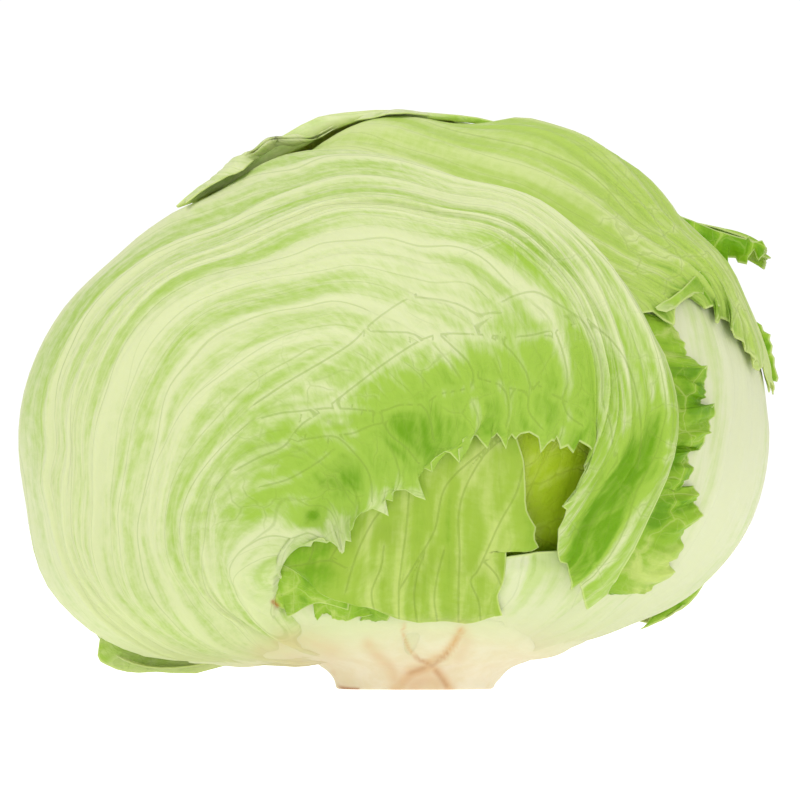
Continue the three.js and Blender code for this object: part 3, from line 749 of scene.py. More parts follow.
def leaf_edge(name, leaf, seed):
    """How far the finished edge lies from the net's edge at u, as a direction offset: to the places
    given for the leaf where it has any, and elsewhere out by the teeth. Returns the offsets' u, the
    offsets and the u of tips."""
    net = leaf["net"]
    t = np.linspace(0, 1, 2401)
    line = net.at(t, np.ones(t.shape))
    outward = unit(line - net.at(t, np.full(t.shape, 0.97)))
    tooth = tooth_length(t, leaf["teeth"], seed) if "teeth" in leaf else np.zeros(t.shape)
    offset = outward * (tooth / MEAN_RADIUS)[:, None]
    if "edge" not in leaf:
        return t, offset, np.zeros(0)
    places, tips = matched(name, leaf["edge"], line, t)
    inside = (t >= tips[0]) & (t <= tips[-1])
    drawn = np.stack([np.interp(t, tips, places[:, k]) for k in range(3)], -1) - line
    blend = inside * 1.0
    blend = np.maximum(blend, 1 - np.minimum(np.abs(t - tips[0]), np.abs(t - tips[-1])) / 0.03)
    blend = np.clip(blend, 0, 1)[:, None]
    return t, blend * drawn + (1 - blend) * offset, tips


def matched(name, pixels, line, t):
    """Directions of pixel places, and the t of each on a line they follow in order."""
    places = on_front(name, pixels)
    tips = []
    low = 0
    for place in places:
        window = line[low:low + 260]
        low += int(np.argmin(np.linalg.norm(window - place, axis=1)))
        tips.append(t[min(low, len(t) - 1)])
        low = min(low + 4, len(t) - 2)
    return places, np.array(tips)


def leaf_side(name, leaf, side):
    """The same for the side at u = 0 or 1: t along it and the offsets there."""
    t = np.linspace(0, 1, 801)
    line = leaf["net"].at(np.full(t.shape, float(side)), t)
    if side not in leaf.get("sides", {}):
        return t, np.zeros(line.shape)
    places, tips = matched(name, leaf["sides"][side], line, t)
    drawn = np.stack([np.interp(t, tips, places[:, k]) for k in range(3)], -1) - line
    before = smoothstep(t, tips[0] - 0.08, tips[0])
    after = 1 - smoothstep(t, tips[-1], tips[-1] + 0.08)
    return t, drawn * (before * after)[:, None]


def leaf_rows(leaf):
    """Places of the mesh's rows along the leaf, close together in the last millimetres."""
    fine, reach = 14, 7.0
    start = 1 - reach / np.mean(leaf["net"].lengths)
    last = 1 - (1 - np.linspace(0, 1, fine + 1)) ** 1.6
    first = np.linspace(0, start, leaf["rows"] - fine, endpoint=False)
    return np.concatenate([first, start + (1 - start) * last])


def leaf_folds(leaf, seed, u, w, length, across, wide):
    """Height of the pleats along the leaf, its crumples and swells, and the ruffle that grows towards its
    edge as a wave and a smaller one 2.7 times as close."""
    cells = max(2.0, float(wide.max()) / PLEAT_WIDTH)
    bend = 0.6 * noise(u * 3, w * 3, seed)
    height = leaf.get("pleats", PLEAT_HEIGHT) * noise(u * cells + bend, w * 2.6, seed + 1)
    height += CRUMPLE_HEIGHT * noise(u * cells * 2.3, w * 5, seed + 2)
    height += SWELL_HEIGHT * noise(across / SWELL_WIDTH, w * length / SWELL_WIDTH, seed + 4)
    if "ruffle" in leaf:
        waves, amount = leaf["ruffle"]
        phase = 2 * np.pi * (waves * u + 0.35 * noise(u * waves, w * 3, seed + 3))
        fall = smoothstep(w, leaf["from_row"], 1)
        height += amount * fall * (0.5 + 0.5 * np.sin(phase))
        height += 0.35 * amount * fall ** 2 * (0.5 + 0.5 * np.sin(2.7 * phase + 1))
    return height


def leaf_surface(name, seed):
    """The finished inner and outer face of a leaf, with its map and masks, as grids of rows by columns."""
    leaf = LEAVES[name]
    net = leaf["net"]
    t, offset, tips = leaf_edge(name, leaf, seed)
    edge_line = net.at(t, np.ones(t.shape)) + offset
    run = np.concatenate([[0], np.cumsum(np.linalg.norm(np.diff(edge_line, axis=0), axis=1))])
    even = np.interp(np.linspace(0, 1, leaf["columns"] + 1), 0.5 * t + 0.5 * run / run[-1], t)
    u = np.unique(np.round(np.concatenate([even, tips]), 5))
    w = leaf_rows(leaf)
    u, w = np.meshgrid(u, w)
    length = net.length(u)
    e = net.at(u, w)

    reach = leaf.get("reach", EDGE_REACH) / length
    pull = np.clip((w - 1 + reach) / reach, 0, 1) ** 1.5
    shift = np.stack([np.interp(u[0], t, offset[:, k]) for k in range(3)], -1)[None] * pull[..., None]
    side_width = leaf.get("side_width", SIDE_REACH)
    for side in (0, 1):
        st, side_offset = leaf_side(name, leaf, side)
        from_side = np.abs(u - side)
        share = np.clip(1 - from_side / side_width, 0, 1) ** 2 * (1 - pull)
        at_rows = np.stack([np.interp(w[:, 0], st, side_offset[:, k]) for k in range(3)], -1)[:, None]
        shift = shift + at_rows * share[..., None]
    out = np.sum(shift * unit(np.gradient(e, axis=0)), -1) * MEAN_RADIUS
    aside = np.sum(shift * unit(np.gradient(e, axis=1)), -1) * MEAN_RADIUS
    e = unit(e + shift)

    grid = np.linspace(0, 1, COARSE)
    coarse_u, coarse_w = np.meshgrid(grid, grid)
    coarse = net.at(coarse_u, coarse_w)
    inner = spread(resting_height(name, coarse), u, w)
    clear = np.clip(spread(open_above(name, coarse), u, w), 0, 1)

    base = point_at(e, inner)
    span = np.linalg.norm(np.gradient(base, axis=1), axis=-1)
    across = np.cumsum(span, axis=1) - span / 2
    wide = across[:, -1:]
    edge = np.maximum((1 - w) * length, 0)
    from_side = np.minimum(across, wide - across)
    border = np.minimum(edge, from_side)
    relief = ribs(u, w, wide, leaf.get("ribs", 7), seed)
    height = leaf_folds(leaf, seed, u, w, length, across, wide)
    height += leaf.get("rib_height", RIB_HEIGHT) * (relief - 0.3) * smoothstep(edge, 1, 20)
    height *= COVERED_RELIEF + (1 - COVERED_RELIEF) * clear
    for places, left, right, amount in leaf.get("creases", ()):
        height += crease(base, places, left, right, amount)
    for side, until, depth, width in leaf.get("sinks", ()):
        beyond = across if side == 0 else wide - across
        height -= depth * (1 - smoothstep(beyond, 0, width)) * (1 - smoothstep(w, until - 0.12, until))
    height += leaf.get("up", 0)
    thickness = thickness_at(e) * (EDGE_BLADE + (1 - EDGE_BLADE) * smoothstep(border, 0, 4))
    if "tuck" in leaf:
        begin, depth = leaf["tuck"]
        height -= depth * smoothstep(w, begin, 1)
    flow = np.stack([u * wide.mean() + aside + SEEDS_APART * seed, w * length + out], -1) * MM
    return dict(
        inner=point_at(e, inner + height), outer=point_at(e, inner + height + thickness), u=u, v=w,
        border=border, relief=relief, flow=flow, calm=np.clip(wide / wide.mean(), 0.2, 1) ** 1.5 + 0 * u,
    )


def shared(places, count):
    """Points at equal shares of the length of a line of pixel places."""
    line = np.asarray(places, float)
    along = np.concatenate([[0], np.cumsum(np.linalg.norm(np.diff(line, axis=0), axis=1))])
    t = np.linspace(0, along[-1], count)
    return np.stack([np.interp(t, along, line[:, k]) for k in range(2)], -1)


def strip(top, under, seed, depth=0.0, slant=0.0, on=None, front=1.2, back=-0.5, columns=120, rows=20):
    """A part that faces the front, ruled from an upper to a lower line. Its middle surface is at y =
    depth, slanting back along it, or lies on the leaf that on names; its faces stand front and back of
    that by sin(pi * share)."""
    share = np.linspace(0, 1, rows + 1)
    across = ((1 - np.cos(np.pi * share)) / 2)[:, None, None]
    t = np.linspace(0, 1, columns + 1)
    pixels = (1 - across) * shared(top, columns + 1) + across * shared(under, columns + 1)
    xz = in_view(pixels)
    y = np.full(xz.shape[:2], float(depth)) + slant * t
    if on:
        e = on_front(on, pixels.reshape(-1, 2))
        y = point_at(e, resting_height(on, e) + thickness_at(e))[:, 1].reshape(xz.shape[:2]) - 0.6
    ends = np.minimum(1, 6 * np.minimum(t, 1 - t)) ** 0.5
    hump = np.sin(np.pi * share)[:, None] * ends
    wrinkle = 0.5 * noise(t * columns / 9, share[:, None] * 2.0, seed) * hump
    outer = np.stack([xz[..., 0], y - 0.15 - front * hump + wrinkle, xz[..., 1]], -1)
    inner = np.stack([xz[..., 0], y + 0.15 + back * hump + wrinkle, xz[..., 1]], -1)
    length = np.cumsum(np.linalg.norm(np.gradient(xz, axis=1), axis=-1), axis=1)
    height = np.cumsum(np.linalg.norm(np.gradient(xz, axis=0), axis=-1), axis=0)
    border = np.minimum(height, height[-1:] - height)
    w, u = np.meshgrid(share, t, indexing="ij")
    flow = np.stack([height + SEEDS_APART * seed, length], -1) * MM
    return dict(
        inner=inner, outer=outer, u=u, v=w, border=border + 0 * u, relief=0 * u, flow=flow, calm=1 + 0 * u,
    )


def shell(name, s, masks):
    """A closed leaf mesh from two grids of points, joined round their border, with point attributes."""
    inner, outer = s["inner"], s["outer"]
    rows, columns = inner.shape[0] - 1, inner.shape[1] - 1
    width = columns + 1
    offset = (rows + 1) * width
    j, i = np.mgrid[0:rows, 0:columns]
    a = (j * width + i).ravel()
    back = np.stack([a, a + width, a + width + 1, a + 1], -1)
    face = np.stack([a, a + 1, a + width + 1, a + width], -1) + offset
    ring = np.concatenate([
        np.arange(columns),
        np.arange(rows) * width + columns,
        rows * width + np.arange(columns, 0, -1),
        np.arange(rows, 0, -1) * width,
    ])
    after = np.roll(ring, -1)
    rim = np.stack([ring, after, after + offset, ring + offset], -1)
    quads = np.concatenate([back, face, rim])
    points = np.concatenate([inner.reshape(-1, 3), outer.reshape(-1, 3)]) * MM
    corners = points[face[len(face) // 2]]
    normal = np.cross(corners[1] - corners[0], corners[2] - corners[1])
    gap = (outer - inner).reshape(-1, 3)[(face[len(face) // 2] - offset)[0]]
    if normal @ gap < 0:
        quads = quads[:, ::-1]
    mesh = bpy.data.meshes.new(name)
    mesh.vertices.add(len(points))
    mesh.vertices.foreach_set("co", points.ravel())
    mesh.loops.add(quads.size)
    mesh.loops.foreach_set("vertex_index", quads.ravel())
    mesh.polygons.add(len(quads))
    mesh.polygons.foreach_set("loop_start", np.arange(len(quads)) * 4)
    mesh.polygons.foreach_set("use_smooth", np.ones(len(quads), bool))
    mesh.update(calc_edges=True)
    layer = mesh.uv_layers.new(name="flow")
    both = np.concatenate([s["flow"].reshape(-1, 2)] * 2)
    layer.data.foreach_set("uv", both[quads.ravel()].ravel())
    write_masks(mesh, {key: np.concatenate([values.ravel()] * 2) for key, values in masks.items()})
    return placed(name, mesh)


def closed(name, rings, low, high, masks):
    """A closed mesh through rings of points, one after another, with a point at either end. Its faces are
    turned outwards by the sign of its volume, the sum of a . (b x c) over its triangles. masks gives the
    point attributes of an array of points."""
    rows, columns = rings.shape[:2]
    verts = np.vstack([[low], rings.reshape(-1, 3), [high]])
    j, i = np.mgrid[0:rows - 1, 0:columns]
    a, b = 1 + j * columns + i, 1 + j * columns + (i + 1) % columns
    quads = np.stack([a, b, b + columns, a + columns], -1).reshape(-1, 4)
    k = np.arange(columns)
    after = (k + 1) % columns
    last = 1 + (rows - 1) * columns
    first_cap = np.stack([0 * k, 1 + after, 1 + k], -1)
    last_cap = np.stack([last + k, last + after, 0 * k + len(verts) - 1], -1)
    triangles = np.concatenate([quads[:, :3], quads[:, [0, 2, 3]], first_cap, last_cap])
    a, b, c = (verts[triangles[:, corner]] for corner in range(3))
    turn = 1 if np.sum(a * np.cross(b, c)) > 0 else -1
    faces = [face[::turn] for part in (quads, first_cap, last_cap) for face in part.tolist()]
    mesh = bpy.data.meshes.new(name)
    mesh.from_pydata((verts * MM).tolist(), [], faces)
    mesh.polygons.foreach_set("use_smooth", np.ones(len(faces), bool))
    write_masks(mesh, masks(verts))
    return placed(name, mesh)


def write_masks(mesh, masks):
    for key, values in masks.items():
        mesh.attributes.new(key, "FLOAT", "POINT").data.foreach_set("value", values)


def placed(name, data):
    made = bpy.data.objects.new(name, data)
    bpy.context.collection.objects.link(made)
    return made


class Graph:
    """A short way to lay out shader nodes: graph.node(kind, settings, input=value or socket) returns
    the node, and i0, i1 and so on stand for its inputs by number."""

    def __init__(self, tree):
        self.tree = tree

    def node(self, kind, settings=None, **inputs):
        made = self.tree.nodes.new(kind)
        for key, value in (settings or {}).items():
            setattr(made, key, value)
        for key, value in inputs.items():
            socket = made.inputs[int(key[1:])] if key[0] == "i" and key[1:].isdigit() else made.inputs[key]
            if isinstance(value, bpy.types.NodeSocket):
                self.tree.links.new(value, socket)
            else:
                socket.default_value = value
        return made

    def math(self, operation, a, b=0.0, clamp=False):
        settings = {"operation": operation, "use_clamp": clamp}
        return self.node("ShaderNodeMath", settings, i0=a, i1=b).outputs[0]

    def each(self, operation, values):
        total = values[0]
        for value in values[1:]:
            total = self.math(operation, total, value)
        return total

    def add(self, *values):
        return self.each("ADD", values)

    def mul(self, *values):
        return self.each("MULTIPLY", values)

    def most(self, *values):
        return self.each("MAXIMUM", values)

    def sub(self, a, b, clamp=False):
        return self.math("SUBTRACT", a, b, clamp)

    def mix(self, amount, a, b):
        return self.node("ShaderNodeMix", {"data_type": "RGBA"}, i0=amount, i6=a, i7=b).outputs[2]

    def ramp(self, value, low, high, to_low=0.0, to_high=1.0):
        made = self.node(
            "ShaderNodeMapRange", {"interpolation_type": "SMOOTHSTEP"},
            i0=value, i1=low, i2=high, i3=to_low, i4=to_high,
        )
        return made.outputs[0]

    def fade(self, value, near, far, strength=1.0):
        return self.ramp(value, near, far, strength, 0.0)

    def swing(self, value, amount):
        """A mask's swing either side of its middle, 0.5."""
        return self.mul(self.sub(value, 0.5), amount)

    def stretch(self, vector, x, y):
        factor = self.node("ShaderNodeCombineXYZ", None, i0=x, i1=y, i2=1.0)
        made = self.node("ShaderNodeVectorMath", {"operation": "MULTIPLY"}, i0=vector, i1=factor.outputs[0])
        return made.outputs[0]

    def noise(self, vector, scale, detail, dimensions="3D", rough=0.5):
        return self.node(
            "ShaderNodeTexNoise", {"noise_dimensions": dimensions},
            Vector=vector, Scale=scale, Detail=detail, Roughness=rough,
        )

    def group(self, tree, **inputs):
        return self.node("ShaderNodeGroup", {"node_tree": tree}, **inputs).outputs

    def join(self, *links):
        for source, socket in links:
            self.tree.links.new(source, socket)

    def attribute(self, name):
        return self.node("ShaderNodeAttribute", {"attribute_name": name}).outputs["Fac"]


def new_group(name, inputs, outputs):
    """A shader node group with float inputs (name: default), vector inputs (name: None) and float
    outputs."""
    group = bpy.data.node_groups.new(name, "ShaderNodeTree")
    for key, default in inputs.items():
        kind = "NodeSocketVector" if default is None else "NodeSocketFloat"
        socket = group.interface.new_socket(key, in_out="INPUT", socket_type=kind)
        if default is not None:
            socket.default_value = default
    for key in outputs:
        group.interface.new_socket(key, in_out="OUTPUT", socket_type="NodeSocketFloat")
    start = group.nodes.new("NodeGroupInput").outputs
    end = group.nodes.new("NodeGroupOutput").inputs
    return group, Graph(group), start, end


def vein_group():
    """Veins that run along the leaf one Spacing apart and part into branches, each from its own distance
    along, in units of Range. With x across in spacings, the nearest vein is at d = x - round(x), and its
    branches at d = p * smoothstep(y - start). Line is the thin vein and Halo the pale band beside it."""
    group, graph, start, end = new_group(
        "Leaf veins", {"Flow": None, "Spacing": 0.02, "Range": 0.12}, ("Line", "Halo"),
    )
    wobble = graph.noise(start["Flow"], 17.0, 2.0, "2D")
    place = graph.node("ShaderNodeSeparateXYZ", None, i0=start["Flow"])
    x = graph.math("DIVIDE", place.outputs[0], start["Spacing"])
    x = graph.add(x, graph.mul(wobble.outputs["Fac"], 0.7))
    y = graph.math("DIVIDE", place.outputs[1], start["Range"])
    cell = graph.math("ROUND", x)
    d = graph.sub(x, cell)

    def part(number, latest, reach, parent=None):
        own = graph.add(cell, 0.37 * number)
        chance = graph.node("ShaderNodeTexWhiteNoise", {"noise_dimensions": "1D"}, W=own).outputs[0]
        moved = graph.mul(graph.ramp(graph.sub(y, graph.mul(chance, latest)), 0.0, 0.28), reach)
        return moved if parent is None else graph.add(parent, moved)

    def away(distance):
        return graph.mul(graph.math("ABSOLUTE", distance), start["Spacing"])

    def nearer(*branches):
        return graph.math("MINIMUM", *(away(graph.sub(d, branch)) for branch in branches))

    first, second = part(0, 0.9, 0.38), part(1, 0.9, -0.36)
    trunk, branch = away(d), nearer(first, second)
    twig = nearer(part(2, 1.2, -0.19, first), part(3, 1.2, 0.18, second))
    line = graph.most(
        graph.fade(trunk, 0.00008, 0.0003), graph.fade(branch, 0.00004, 0.00024, 0.75),
        graph.fade(twig, 0.00002, 0.00019, 0.5),
    )
    halo = graph.most(graph.fade(trunk, 0.0003, 0.0026), graph.fade(branch, 0.0002, 0.0018, 0.6))
    graph.join((line, end["Line"]), (halo, end["Halo"]))
    return group


def net_group():
    """A net of veins as the borders of cells in space about Size across, with finer nets inside it."""
    group, graph, start, end = new_group(
        "Leaf net", {"Place": None, "Size": 0.0125}, ("Line", "Halo", "Fine"),
    )
    wobble = graph.noise(start["Place"], 140.0, 2.0).outputs["Color"]
    centred = graph.node("ShaderNodeVectorMath", {"operation": "SUBTRACT"}, i0=wobble, i1=(0.5, 0.5, 0.5))
    small = graph.node("ShaderNodeVectorMath", {"operation": "SCALE"}, i0=centred.outputs[0], Scale=0.006)
    moved = graph.node("ShaderNodeVectorMath", {"operation": "ADD"}, i0=start["Place"], i1=small.outputs[0])
    each = graph.math("DIVIDE", 1.0, start["Size"])

    def net(scale):
        cells = graph.node(
            "ShaderNodeTexVoronoi", {"feature": "DISTANCE_TO_EDGE"},
            Vector=moved.outputs[0], Scale=graph.mul(each, scale), Randomness=0.95,
        )
        return cells.outputs["Distance"]

    main, second = net(1.0), net(2.3)
    line = graph.most(graph.fade(main, 0.006, 0.024), graph.fade(second, 0.006, 0.034, 0.4))
    halo = graph.most(graph.fade(main, 0.02, 0.16), graph.fade(second, 0.02, 0.2, 0.3))
    graph.join((line, end["Line"]), (halo, end["Halo"]), (graph.fade(net(5.5), 0.02, 0.2), end["Fine"]))
    return group


def streak_group():
    """Streaks from 0 to 1 along the leaf, as noise drawn out along its flow, and an even Mottle."""
    group, graph, start, end = new_group(
        "Leaf streaks", {"Flow": None, "Across": 110.0}, ("Broad", "Fine", "Mottle"),
    )
    narrow = graph.mul(start["Across"], 6.0)
    broad = graph.noise(graph.stretch(start["Flow"], start["Across"], 13.0), 1.0, 3.0, "2D")
    fine = graph.noise(graph.stretch(start["Flow"], narrow, 45.0), 1.0, 3.0, "2D", 0.6)
    mottle = graph.noise(start["Flow"], 330.0, 5.0, "2D", 0.62)
    graph.join(
        (graph.ramp(broad.outputs["Fac"], 0.3, 0.7), end["Broad"]),
        (graph.ramp(fine.outputs["Fac"], 0.25, 0.75), end["Fine"]),
        (mottle.outputs["Fac"], end["Mottle"]),
    )
    return group


def new_material(name):
    material = bpy.data.materials.new(name)
    material.use_nodes = True
    return material, Graph(material.node_tree), material.node_tree.nodes["Principled BSDF"]


def finish_flesh(graph, shader, tone, lumps, strength, depth, glow=0.15, glow_reach=GLOW_REACH):
    """Joins a colour and a height to the shader, and lets light through as moist flesh does."""
    bumped = graph.node("ShaderNodeBump", None, Height=lumps, Strength=strength, Distance=depth)
    graph.join((tone, shader.inputs["Base Color"]), (bumped.outputs[0], shader.inputs["Normal"]))
    shader.inputs["Subsurface Weight"].default_value = glow
    shader.inputs["Subsurface Radius"].default_value = glow_reach
    shader.inputs["Subsurface Scale"].default_value = 1.0


def leaf_material(name, pale, green, deep, spacing=0.02, streak=0.3, net_from=0.3, line=0.42, halo=0.3,
                  light_net=0.0, glow=0.12, along=1.0, size=0.0125, mesh=1.0):
    """Leaf flesh: from pale to green to deep by the piece's own green mask, which holds the leaf's own
    greener places and painted shade alike, streaked along its flow, paler beside its veins, with a net of
    veins where it is green, a thin pale line along the edge and cream near the stem. line, halo and streak
    are the strengths of those, along and mesh the share of the made-up veins along the leaf and in its net."""
    material, graph, shader = new_material(name)
    flow = graph.node("ShaderNodeUVMap", {"uv_map": "flow"}).outputs[0]
    place = graph.node("ShaderNodeTexCoord").outputs["Object"]
    vein = graph.group(GROUPS["veins"], Flow=flow, Spacing=spacing)
    net = graph.group(GROUPS["net"], Place=place, Size=size)
    streaks = graph.group(GROUPS["streaks"], Flow=flow)
    mask, near, calm = (graph.attribute(key) for key in ("green", "near", "calm"))
    netted = graph.ramp(mask, net_from, net_from + 0.3)

    # near is the distance to a drawn vein. drawn has a sign as well, which keeps a thin line unbroken.
    drawn = graph.most(graph.math("ABSOLUTE", graph.attribute("drawn")), graph.sub(near, 0.7))
    ours = graph.mul(graph.ramp(near, 1.5, 3.5, 0.25, 1.0), calm, along)
    meshed = graph.mul(netted, graph.ramp(near, 0.8, 3.9, 0.3 * mesh, mesh))
    dark_line = graph.most(
        graph.mul(vein["Line"], ours), graph.mul(net["Line"], meshed), graph.fade(drawn, 0.1, 0.34),
    )
    pale_band = graph.most(
        graph.mul(vein["Halo"], ours), graph.mul(net["Halo"], meshed), graph.fade(near, 0.2, 2.4, 0.7),
    )
    swing = graph.mul(calm, streak)
    amount = graph.add(
        mask, graph.swing(streaks["Broad"], swing), graph.mul(graph.swing(streaks["Fine"], 0.4), swing),
        graph.swing(streaks["Mottle"], 0.3),
    )
    amount = graph.sub(amount, graph.mul(graph.attribute("rib"), 0.16))
    band = graph.mul(pale_band, graph.ramp(mask, 0.0, 0.7, 0.25 * halo, halo))
    amount = graph.sub(amount, band, clamp=True)

    tone = graph.mix(graph.ramp(amount, 0.0, 0.5), pale, green)
    tone = graph.mix(graph.ramp(amount, 0.5, 1.0), tone, deep)
    dark = tuple(0.66 * c for c in green[:3]) + (1.0,)
    dark_line = graph.mul(dark_line, graph.ramp(mask, 0.05, 0.45, 0.45, 1.0))
    tone = graph.mix(graph.mul(dark_line, line * (1 - light_net)), tone, dark)
    tone = graph.mix(graph.mul(dark_line, line * light_net), tone, pale)
    cream = graph.attribute("cream")
    tone = graph.mix(cream, tone, CREAM)
    rim = graph.mul(graph.fade(graph.attribute("edge"), 0.15, 0.55, 0.7), graph.fade(cream, 0.1, 0.4))
    tone = graph.mix(rim, tone, EDGE_LINE)
    tone = graph.mix(graph.attribute("warm"), tone, WARM)
    tone = graph.mix(graph.attribute("brown"), tone, BROWN)

    parts = (("Mottle", 0.6), ("Broad", 0.5), ("Fine", 0.2))
    lumps = graph.add(*(graph.mul(streaks[key], share) for key, share in parts))
    lumps = graph.sub(lumps, graph.mul(dark_line, 0.35))
    lumps = graph.sub(lumps, graph.mul(net["Fine"], netted, 0.2))
    finish_flesh(graph, shader, tone, lumps, 0.4, 0.0006, glow)
    graph.join((graph.ramp(streaks["Mottle"], 0.3, 0.7, 0.42, 0.56), shader.inputs["Roughness"]))
    shader.inputs["Specular IOR Level"].default_value = 0.2
    return material


def colour(red, green, blue):
    """A colour given as its eight-bit values, in the shader's linear scale."""
    c = np.array([red, green, blue]) / 255
    linear = np.where(c <= 0.04045, c / 12.92, ((c + 0.055) / 1.055) ** 2.4)
    return (*map(float, linear), 1.0)


PALE = colour(223, 232, 174)
PALE_WHITE = colour(230, 236, 190)
GREEN = colour(164, 201, 72)
DEEP = colour(112, 164, 6)
CREAM = colour(238, 230, 194)
EDGE_LINE = colour(214, 230, 144)
WARM = colour(226, 176, 108)
BROWN = colour(184, 116, 58)

# Where the big front leaf is greener or paler, partly by its own colour and partly by painted shade: the
# patches at (609, 508) and (655, 450) are painted shade in the valley inside its rim, and the one at (314,
# 515) painted shade in the dent beside its left crease. Pixel place, radius along and across in pixels,
#      tilt in degrees
# anticlockwise from rightwards, amount
WRAPPER_GREEN_AND_SHADE_PATCHES = [
    (445, 430, 150, 75, 12, 0.5), (425, 435, 60, 30, 15, 0.22), (590, 400, 90, 80, -60, 0.2),
    (530, 254, 75, 20, -10, 0.25), (609, 508, 78, 19, 60, 1.5), (345, 485, 60, 24, 25, 0.3),
    (314, 515, 16, 9, 60, 0.5), (470, 372, 50, 16, 10, 0.15), (570, 460, 40, 18, 60, 0.15),
    (75, 345, 70, 22, 70, 0.1), (400, 165, 60, 12, 8, 0.08), (585, 560, 40, 24, 60, 0.15),
    (265, 490, 60, 26, 30, 0.25), (270, 390, 80, 40, 35, 0.14), (655, 450, 60, 9, 80, 0.3),
    (445, 372, 36, 18, 10, 0.2), (365, 425, 60, 20, 12, 0.15),
]
# Partly the shoulder's own deeper green and partly painted shade: the wide patch at (640, 235) is partly
# painted shade on the side away from the light, and the thin patch at (490, 118) is a painted shadow line
# along the front leaf's top edge.
SHOULDER_GREEN_AND_SHADE_PATCHES = [
    (640, 235, 110, 60, -45, 0.22), (700, 300, 60, 40, -50, 0.3), (732, 332, 55, 16, -52, 0.35),
    (672, 308, 30, 20, 0, 0.2), (490, 118, 40, 6, -5, 0.3),
]
# The patches at (690, 400) and (670, 470) are painted shade in the valley beside the front leaf's rim; the
# one at (655, 565) makes the leaf paler.
FRILL_GREEN_AND_SHADE_PATCHES = [(690, 400, 34, 80, 0, 0.4), (670, 470, 20, 60, -20, 0.5), (655, 565, 50, 45, 0, -0.3)]
# The patch at (306, 562) is painted shade: the shadow that the front leaf casts on the torn leaf's left
# lobe. The other two make the leaf paler.
TORN_GREEN_AND_SHADE_PATCHES = [(306, 562, 34, 28, 0, 0.6), (450, 470, 60, 30, 0, -0.12), (500, 520, 30, 60, 0, -0.08)]


def patch_sum(points, patches):
    """Soft oval patches laid on the front view: amount * exp(-distance^2), in units of each patch's
    radii."""
    xz = points[..., [0, 2]]
    total = np.zeros(points.shape[:-1])
    for px, py, long, short, tilt, amount in patches:
        away = xz - in_view([(px, py)])[0]
        a = np.radians(tilt)
        along = (away[..., 0] * np.cos(a) + away[..., 1] * np.sin(a)) / (long * VIEW_SCALE)
        across = (away[..., 1] * np.cos(a) - away[..., 0] * np.sin(a)) / (short * VIEW_SCALE)
        total += amount * np.exp(-along ** 2 - across ** 2)
    return total * smoothstep(-points[..., 1], 0, 15)


def green_and_shade_of(name, s):
    """How green each point is, from 0 to 1, painted shade included: more towards the edge, and by listed
    patches for the big front leaf.
    """
    # The patch tables add painted shade in folds and under other leaves to this mask, besides the leaves'
    # own greener and paler places.
    along = s["v"]
    if name == "front_wrapper_leaf":
        return 0.07 + 0.15 * smoothstep(along, 0.1, 0.5) + patch_sum(s["outer"], WRAPPER_GREEN_AND_SHADE_PATCHES)
    if name == "right_leaf":
        return 0.02 + 0.1 * smoothstep(along, 0.5, 1)
    if name in ("pale_base_leaf", "inner_base_leaf"):
        return 0.02 + 0.6 * smoothstep(along, 0.5, 1)
    if name == "torn_leaf":
        return 0.6 + 0.12 * noise(s["u"] * 9, along * 2, 5) + patch_sum(s["outer"], TORN_GREEN_AND_SHADE_PATCHES)
    if name == "frilled_leaf":
        mottled = 0.25 * noise(s["u"] * 14, along * 3, 6)
        return 1.0 - 0.4 * along + mottled + patch_sum(s["outer"], FRILL_GREEN_AND_SHADE_PATCHES)
    if name in ("heart_leaf", "tucked_leaf", "small_frill_leaf"):
        return 0.75 + 0.2 * noise(s["u"] * 6, along * 3, 6)
    if name in ("tip_curl", "right_slip"):
        return 1.0 - 0.4 * s["v"] + 0.2 * noise(s["u"] * 9, along * 3, 6)
    if name == "left_slip":
        return 0.5 - 0.4 * s["u"]
    if name == "side_frill":
        return 0.7 + 0.3 * noise(s["u"] * 9, along * 3, 6)
    if name == "shoulder_flap":
        return 0.3 + 0.5 * s["u"]
    if name == "top_roll":
        return 0.2 + 0.5 * smoothstep(s["u"], 0.75, 1)
    if name == "upper_tip_leaf":
        return 0.3 + 0.5 * smoothstep(along, 0.6, 0.9)
    if name == "shoulder_leaf":
        return 0.2 + 0.15 * smoothstep(along, 0.5, 0.9) + patch_sum(s["outer"], SHOULDER_GREEN_AND_SHADE_PATCHES)
    if name == "top_back_leaf":
        return 0.14 + 0.15 * smoothstep(along, 0.3, 0.7) - 0.12 * smoothstep(along, 0.85, 1)
    return 0.12 + 0.3 * smoothstep(along, 0.3, 0.9)


def stem_cream(points):
    """Cream flesh by how near a point is to the stem."""
    radius = np.hypot(points[..., 0], points[..., 1])
    return 1 - smoothstep(radius + 1.2 * np.maximum(points[..., 2] - 10, 0), 20, 56)


def nearest_vein(points, lines):
    """Signed millimetres to the nearest of the drawn veins, at most VEIN_REACH either way."""
    away = np.full(points.shape[:-1], VEIN_REACH)
    for places in lines:
        side = beside(points, catmull(np.asarray(places, float), 5 * len(places)))
        away = np.where(np.abs(side) < np.abs(away), side, away)
    return np.where(points[..., 1] < 0, away, VEIN_REACH)


def masks_of(name, s):
    drawn = nearest_vein(s["outer"], VEINS_OF.get(name, []))
    # green holds the leaves' own greenness and the painted shade from the patch tables.
    return dict(
        green=np.clip(green_and_shade_of(name, s), 0, 1), rib=s["relief"], edge=s["border"], calm=s["calm"],
        drawn=drawn, near=np.abs(drawn), **stem_masks(s["outer"]),
    )


def stem_masks(points):
    return dict(cream=stem_cream(points), warm=marks(points, WARM_MARKS), brown=marks(points, BROWN_MARKS))


